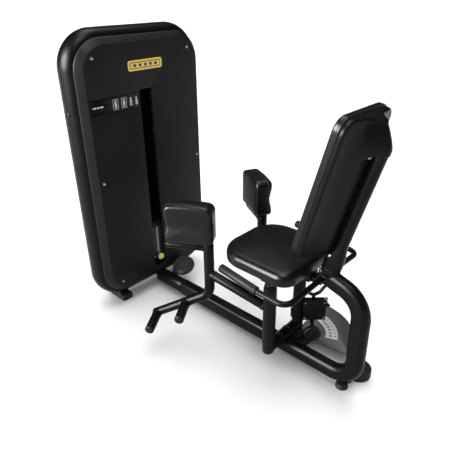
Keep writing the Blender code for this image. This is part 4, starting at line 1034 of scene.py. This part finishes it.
def lever(side, label):
    body = f"{label}_lever"

    def at(x, y, z):
        return Vector((side * x, y, z))

    pivot, post = at(PIVOT_X, PIVOT_Y, 0), at(POST_X, POST_Y, 0)
    shape = bmesh.new()
    turned(shape, [(0.0165, 0.1458), (0.0285, 0.1458), (0.0300, 0.1475), (0.0300, 0.1620), (0.0290, 0.1628),
                   (0.0290, 0.1640), (0.0300, 0.1648), (0.0300, 0.436), (0.0290, 0.4366), (0.0290, 0.4374),
                   (0.0300, 0.438), (0.0300, 0.4485), (0.0288, 0.450), (0.0165, 0.450), (0.0165, 0.1458)], pivot)
    arm_start, arm_end = pivot + Z * 0.335, post + Z * 0.434
    along = (arm_end - arm_start).normalized()
    bar(shape, arm_start, arm_end, PEG_RADIUS, 48)
    weld_bead(shape, arm_start + along * 0.0315, along, 0.0228, 0.0024)
    turned(shape, [(0.0168, 0.4502), (0.0262, 0.4502), (0.0275, 0.4520), (0.0275, 0.4600), (0.0245, 0.4620),
                   (0.0245, 0.4722), (0.0235, 0.4735), (0.0168, 0.4735), (0.0168, 0.4502)], pivot)
    piece(f"{label}_arm", shape, PAINT, body, f"{label}_lever_arm")

    shaft_low = 0.0262 if side > 0 else 0.090
    shape = bmesh.new()
    bar(shape, pivot + Z * shaft_low, pivot + Z * 0.4742, 0.016, 40, 0.0015)
    piece(f"{label}_shaft", shape, STEEL, "drive_quadrant" if side > 0 else "left_shaft", f"{label}_pivot_shaft")

    elbow, foot = at(POST_X, POST_Y, 0.318), at(0.346, 0.203, 0.158)
    down = (foot - elbow).normalized()
    out = at(0.836, -0.548, 0).normalized()
    tip = foot - down * 0.020
    shape = bmesh.new()
    sweep(shape, rounded([(post + Z * 0.594, 0), (elbow, 0.075), (elbow + down * 0.125, 0)], step=radians(3)),
          circle(POST_RADIUS, 48), soft=0.003)
    bar(shape, elbow + down * 0.10, foot, PEG_RADIUS, 48, 0.004)
    bar(shape, tip, tip + out * 0.146, PEG_RADIUS, 48, 0.002)
    turned(shape, [(0, 0.0030), (0.0180, 0.0022), (0.0224, 0.0)], tip + out * 0.1458, out, 48)
    weld_bead(shape, tip + out * 0.0245, out, 0.0226, 0.0020)
    weld_bead(shape, elbow + down * 0.124, down, 0.0238, 0.0018)
    weld_bead(shape, post + Z * 0.434 - along * 0.0265, along, 0.0226, 0.0022)
    piece(f"{label}_leg", shape, PAINT, body, f"{label}_leg_post")
    base = elbow + down * 0.140
    shape = bmesh.new()
    bar(shape, base + out * 0.008, base + out * 0.148, PEG_RADIUS, 48, 0.003)
    weld_bead(shape, base + out * 0.0242, out, 0.0226, 0.0020)
    piece(f"{label}_peg", shape, PAINT, body, f"{label}_rear_peg")
    shape = bmesh.new()
    for spot in (base + out * 0.148, tip + out * 0.1478):
        turned(shape, [(0, 0.0030), (0.0120, 0.0026), (0.0172, 0.0014), (0.0192, -0.0005), (0, -0.0005)], spot, out, 40)
    piece(f"{label}_peg_ends", shape, GRIP, body)

    forward = at(sin(PAD_SPREAD), cos(PAD_SPREAD), 0)
    turn = Matrix.Translation(post) @ Matrix.Rotation(-side * PAD_SPREAD, 4, "Z")
    shape = bmesh.new()
    bar(shape, post + Z * 0.572, post + forward * 0.202 + Z * 0.572, 0.019, 44, 0.003)
    block(shape, (-0.020, 0.050, 0.582), (0.020, 0.190, 0.5985), turn, 0.002)
    weld_bead(shape, post + Z * 0.572 + forward * 0.0255, forward, 0.0192, 0.0018)
    piece(f"{label}_bracket", shape, PAINT, body, f"{label}_pad_bracket")


# ---- range selector -------------------------------------------------------------------------------


def ring_sector(inner, outer, start, end, step=radians(2)):
    count = max(1, round((end - start) / step))
    angles = [start + (end - start) * k / count for k in range(count + 1)]
    return [PIVOT + Vector((outer * cos(a), outer * sin(a), 0)) for a in angles] + [
        PIVOT + Vector((inner * cos(a), inner * sin(a), 0)) for a in reversed(angles)]


def range_selector():
    shape = bmesh.new()
    outline = ring_sector(0.0165, 0.292, radians(-86), radians(6))
    prism(shape, outline, 0.052, SECTOR_TOP, None, 0.0012)
    turned(shape, [(0.0163, 0.0815), (0.031, 0.0815), (0.034, 0.078), (0.034, 0.060), (0.038, 0.058), (0.0163, 0.058),
                   (0.0163, 0.0815)], PIVOT)
    piece("quadrant_plate", shape, PLATE_PAINT, "drive_quadrant", "sector_plate")

    shape = bmesh.new()
    prism(shape, ring_sector(0.147, 0.208, radians(-68), 0.0), SECTOR_TOP + GAP, SECTOR_TOP + 0.0025, None, 0.0005)
    piece("scale_plate", shape, SATIN, "drive_quadrant", "start_scale")
    holes, digits = bmesh.new(), bmesh.new()
    for k in range(8):
        a = radians(-62 + 8 * k)
        out = Vector((cos(a), sin(a), 0))
        # Flat dark discs where the pin holes are: painted shade standing in for the holes, which are not cut
        turned(holes, [(0, 0.0003), (0.0060, 0.0003), (0.0064, 0.0), (0, 0.0)],
               PIVOT + out * PIN_RING + Z * (SECTOR_TOP + 0.0025), Z, 24)
        lettering(digits, str(8 - k), Matrix.Translation(PIVOT + out * 0.1925 + Z * (SECTOR_TOP + 0.0028))
                  @ Matrix.Rotation(a - pi / 2, 4, "Z"), 0.017)
        prism(digits, [(-0.0005, 0.1800), (0.0005, 0.1800), (0.0005, 0.1850), (-0.0005, 0.1850)], 0, 0.0002,
              Matrix.Translation(PIVOT + Z * (SECTOR_TOP + 0.0026)) @ Matrix.Rotation(a - pi / 2, 4, "Z"), 0.0001)
    piece("scale_hole_shade", holes, DARK_INK_AND_HOLE_SHADE, "drive_quadrant")
    piece("scale_numbers", digits, DARK_INK_AND_HOLE_SHADE, "drive_quadrant")

    shape = bmesh.new()
    turned(shape, [(0.0163, 0.009), (0.030, 0.009), (0.032, 0.006), (0.070, 0.006), (0.072, 0.009), (0.083, 0.009),
                   (0.0756, 0.003), (0.0756, -0.003), (0.083, -0.009), (0.0163, -0.009), (0.0163, 0.009)],
           PIVOT + Z * CABLE_Z, Z, 72)
    piece("drum", shape, IRON, "drive_quadrant", "cable_drum")

    shape = bmesh.new()
    block(shape, (0.020, -0.042, 0.168), (0.124, -0.004, 0.274), FACING, 0.004)
    turned(shape, [(0.0303, 0.160), (0.035, 0.160), (0.037, 0.162), (0.037, 0.198), (0.035, 0.200), (0.0303, 0.200),
                   (0.0303, 0.160)], PIVOT)
    reach = radians(-22)
    arm = Matrix.Translation(PIVOT) @ Matrix.Rotation(reach, 4, "Z")
    block(shape, (0.034, -0.015, 0.1605), (0.190, 0.015, 0.172), arm, 0.003)
    wheel = FACING @ Vector((0.064, -0.070, SECTOR_TOP + 0.0433))
    spin = FACING.to_3x3() @ Y
    block(shape, (0.054, -0.056, 0.152), (0.074, -0.010, 0.160), FACING, 0.002)
    block(shape, (0.055, -0.0555, 0.088), (0.073, -0.0515, 0.158), FACING, 0.0015)
    block(shape, (0.055, -0.032, 0.155), (0.073, -0.012, 0.172), FACING, 0.002)
    bar(shape, wheel - spin * 0.015, wheel + spin * 0.017, 0.005, 24, 0.001)
    piece("selector_body", shape, PAINT, "right_lever", "selector_housing")
    spot = PIVOT + Vector((PIN_RING * cos(reach), PIN_RING * sin(reach), 0))
    shape = bmesh.new()
    turned(shape, [(0, 0.150), (0.009, 0.1495), (0.0120, 0.146), (0.0125, 0.140), (0.0125, 0.124), (0.0105, 0.120),
                   (0.0045, 0.118), (0.0045, 0.001), (0.0035, 0.0), (0, 0.0)], spot + Z * 0.061, Z, 40)
    piece("start_pin", shape, STEEL, "lock_pin", "lock_pin")
    shape = bmesh.new()
    block(shape, (0.016, -0.0445, 0.164), (0.128, -0.0423, 0.280), FACING, 0.001)
    piece("selector_plate", shape, MOULDED, "right_lever", "selector_cover")
    shape = bmesh.new()
    for x, z in ((0.026, 0.266), (0.118, 0.266), (0.026, 0.178), (0.118, 0.178)):
        bolt(shape, FACING @ Vector((x, -0.0445, z)), -spin, 0.0032, washer=False)
    piece("selector_screws", shape, STEEL, "right_lever")

    shape = bmesh.new()
    points = [FACING @ Vector(p) for p in ((0.037, -0.023, 0.326), (0.046, -0.023, 0.310), (0.066, -0.023, 0.300),
                                           (0.094, -0.023, 0.315), (0.120, -0.023, 0.355))]
    sweep(shape, rounded([(p, 0.02) for p in points], step=radians(5)), circle(0.0085, 32), soft=0.004)
    block(shape, (0.058, -0.030, 0.277), (0.074, -0.016, 0.300), FACING, 0.003)
    piece("selector_hook", shape, PAINT, "selector_handle", "selector_handle")

    shape = bmesh.new()
    turned(shape, [(0.0055, 0.013), (0.014, 0.013), (0.015, 0.0095), (0.030, 0.0085), (0.0325, 0.013), (0.0395, 0.013),
                   (0.043, 0.009), (0.043, -0.009), (0.0395, -0.013), (0.0325, -0.013), (0.030, -0.0085),
                   (0.015, -0.0095), (0.014, -0.013), (0.0055, -0.013), (0.0055, 0.013)], wheel, spin, 72)
    across = spin.orthogonal().normalized()
    for k in range(5):
        a = 2 * pi * k / 5
        out = across * cos(a) + spin.cross(across) * sin(a)
        bar(shape, wheel + out * 0.013 - spin * 0.0105, wheel + out * 0.033 - spin * 0.0105, 0.0022, 12, 0.0006)
    piece("roller_wheel", shape, RUBBER, "guide_roller", "guide_roller")


stage()
tower_shell()
stack()
cable_run()
framework()
backrest()
seat()
handlebars()
for lever_side, lever_label in SIDES:
    lever(lever_side, lever_label)
    knee_pad(lever_side, lever_label)
range_selector()

bpy.context.view_layer.update()
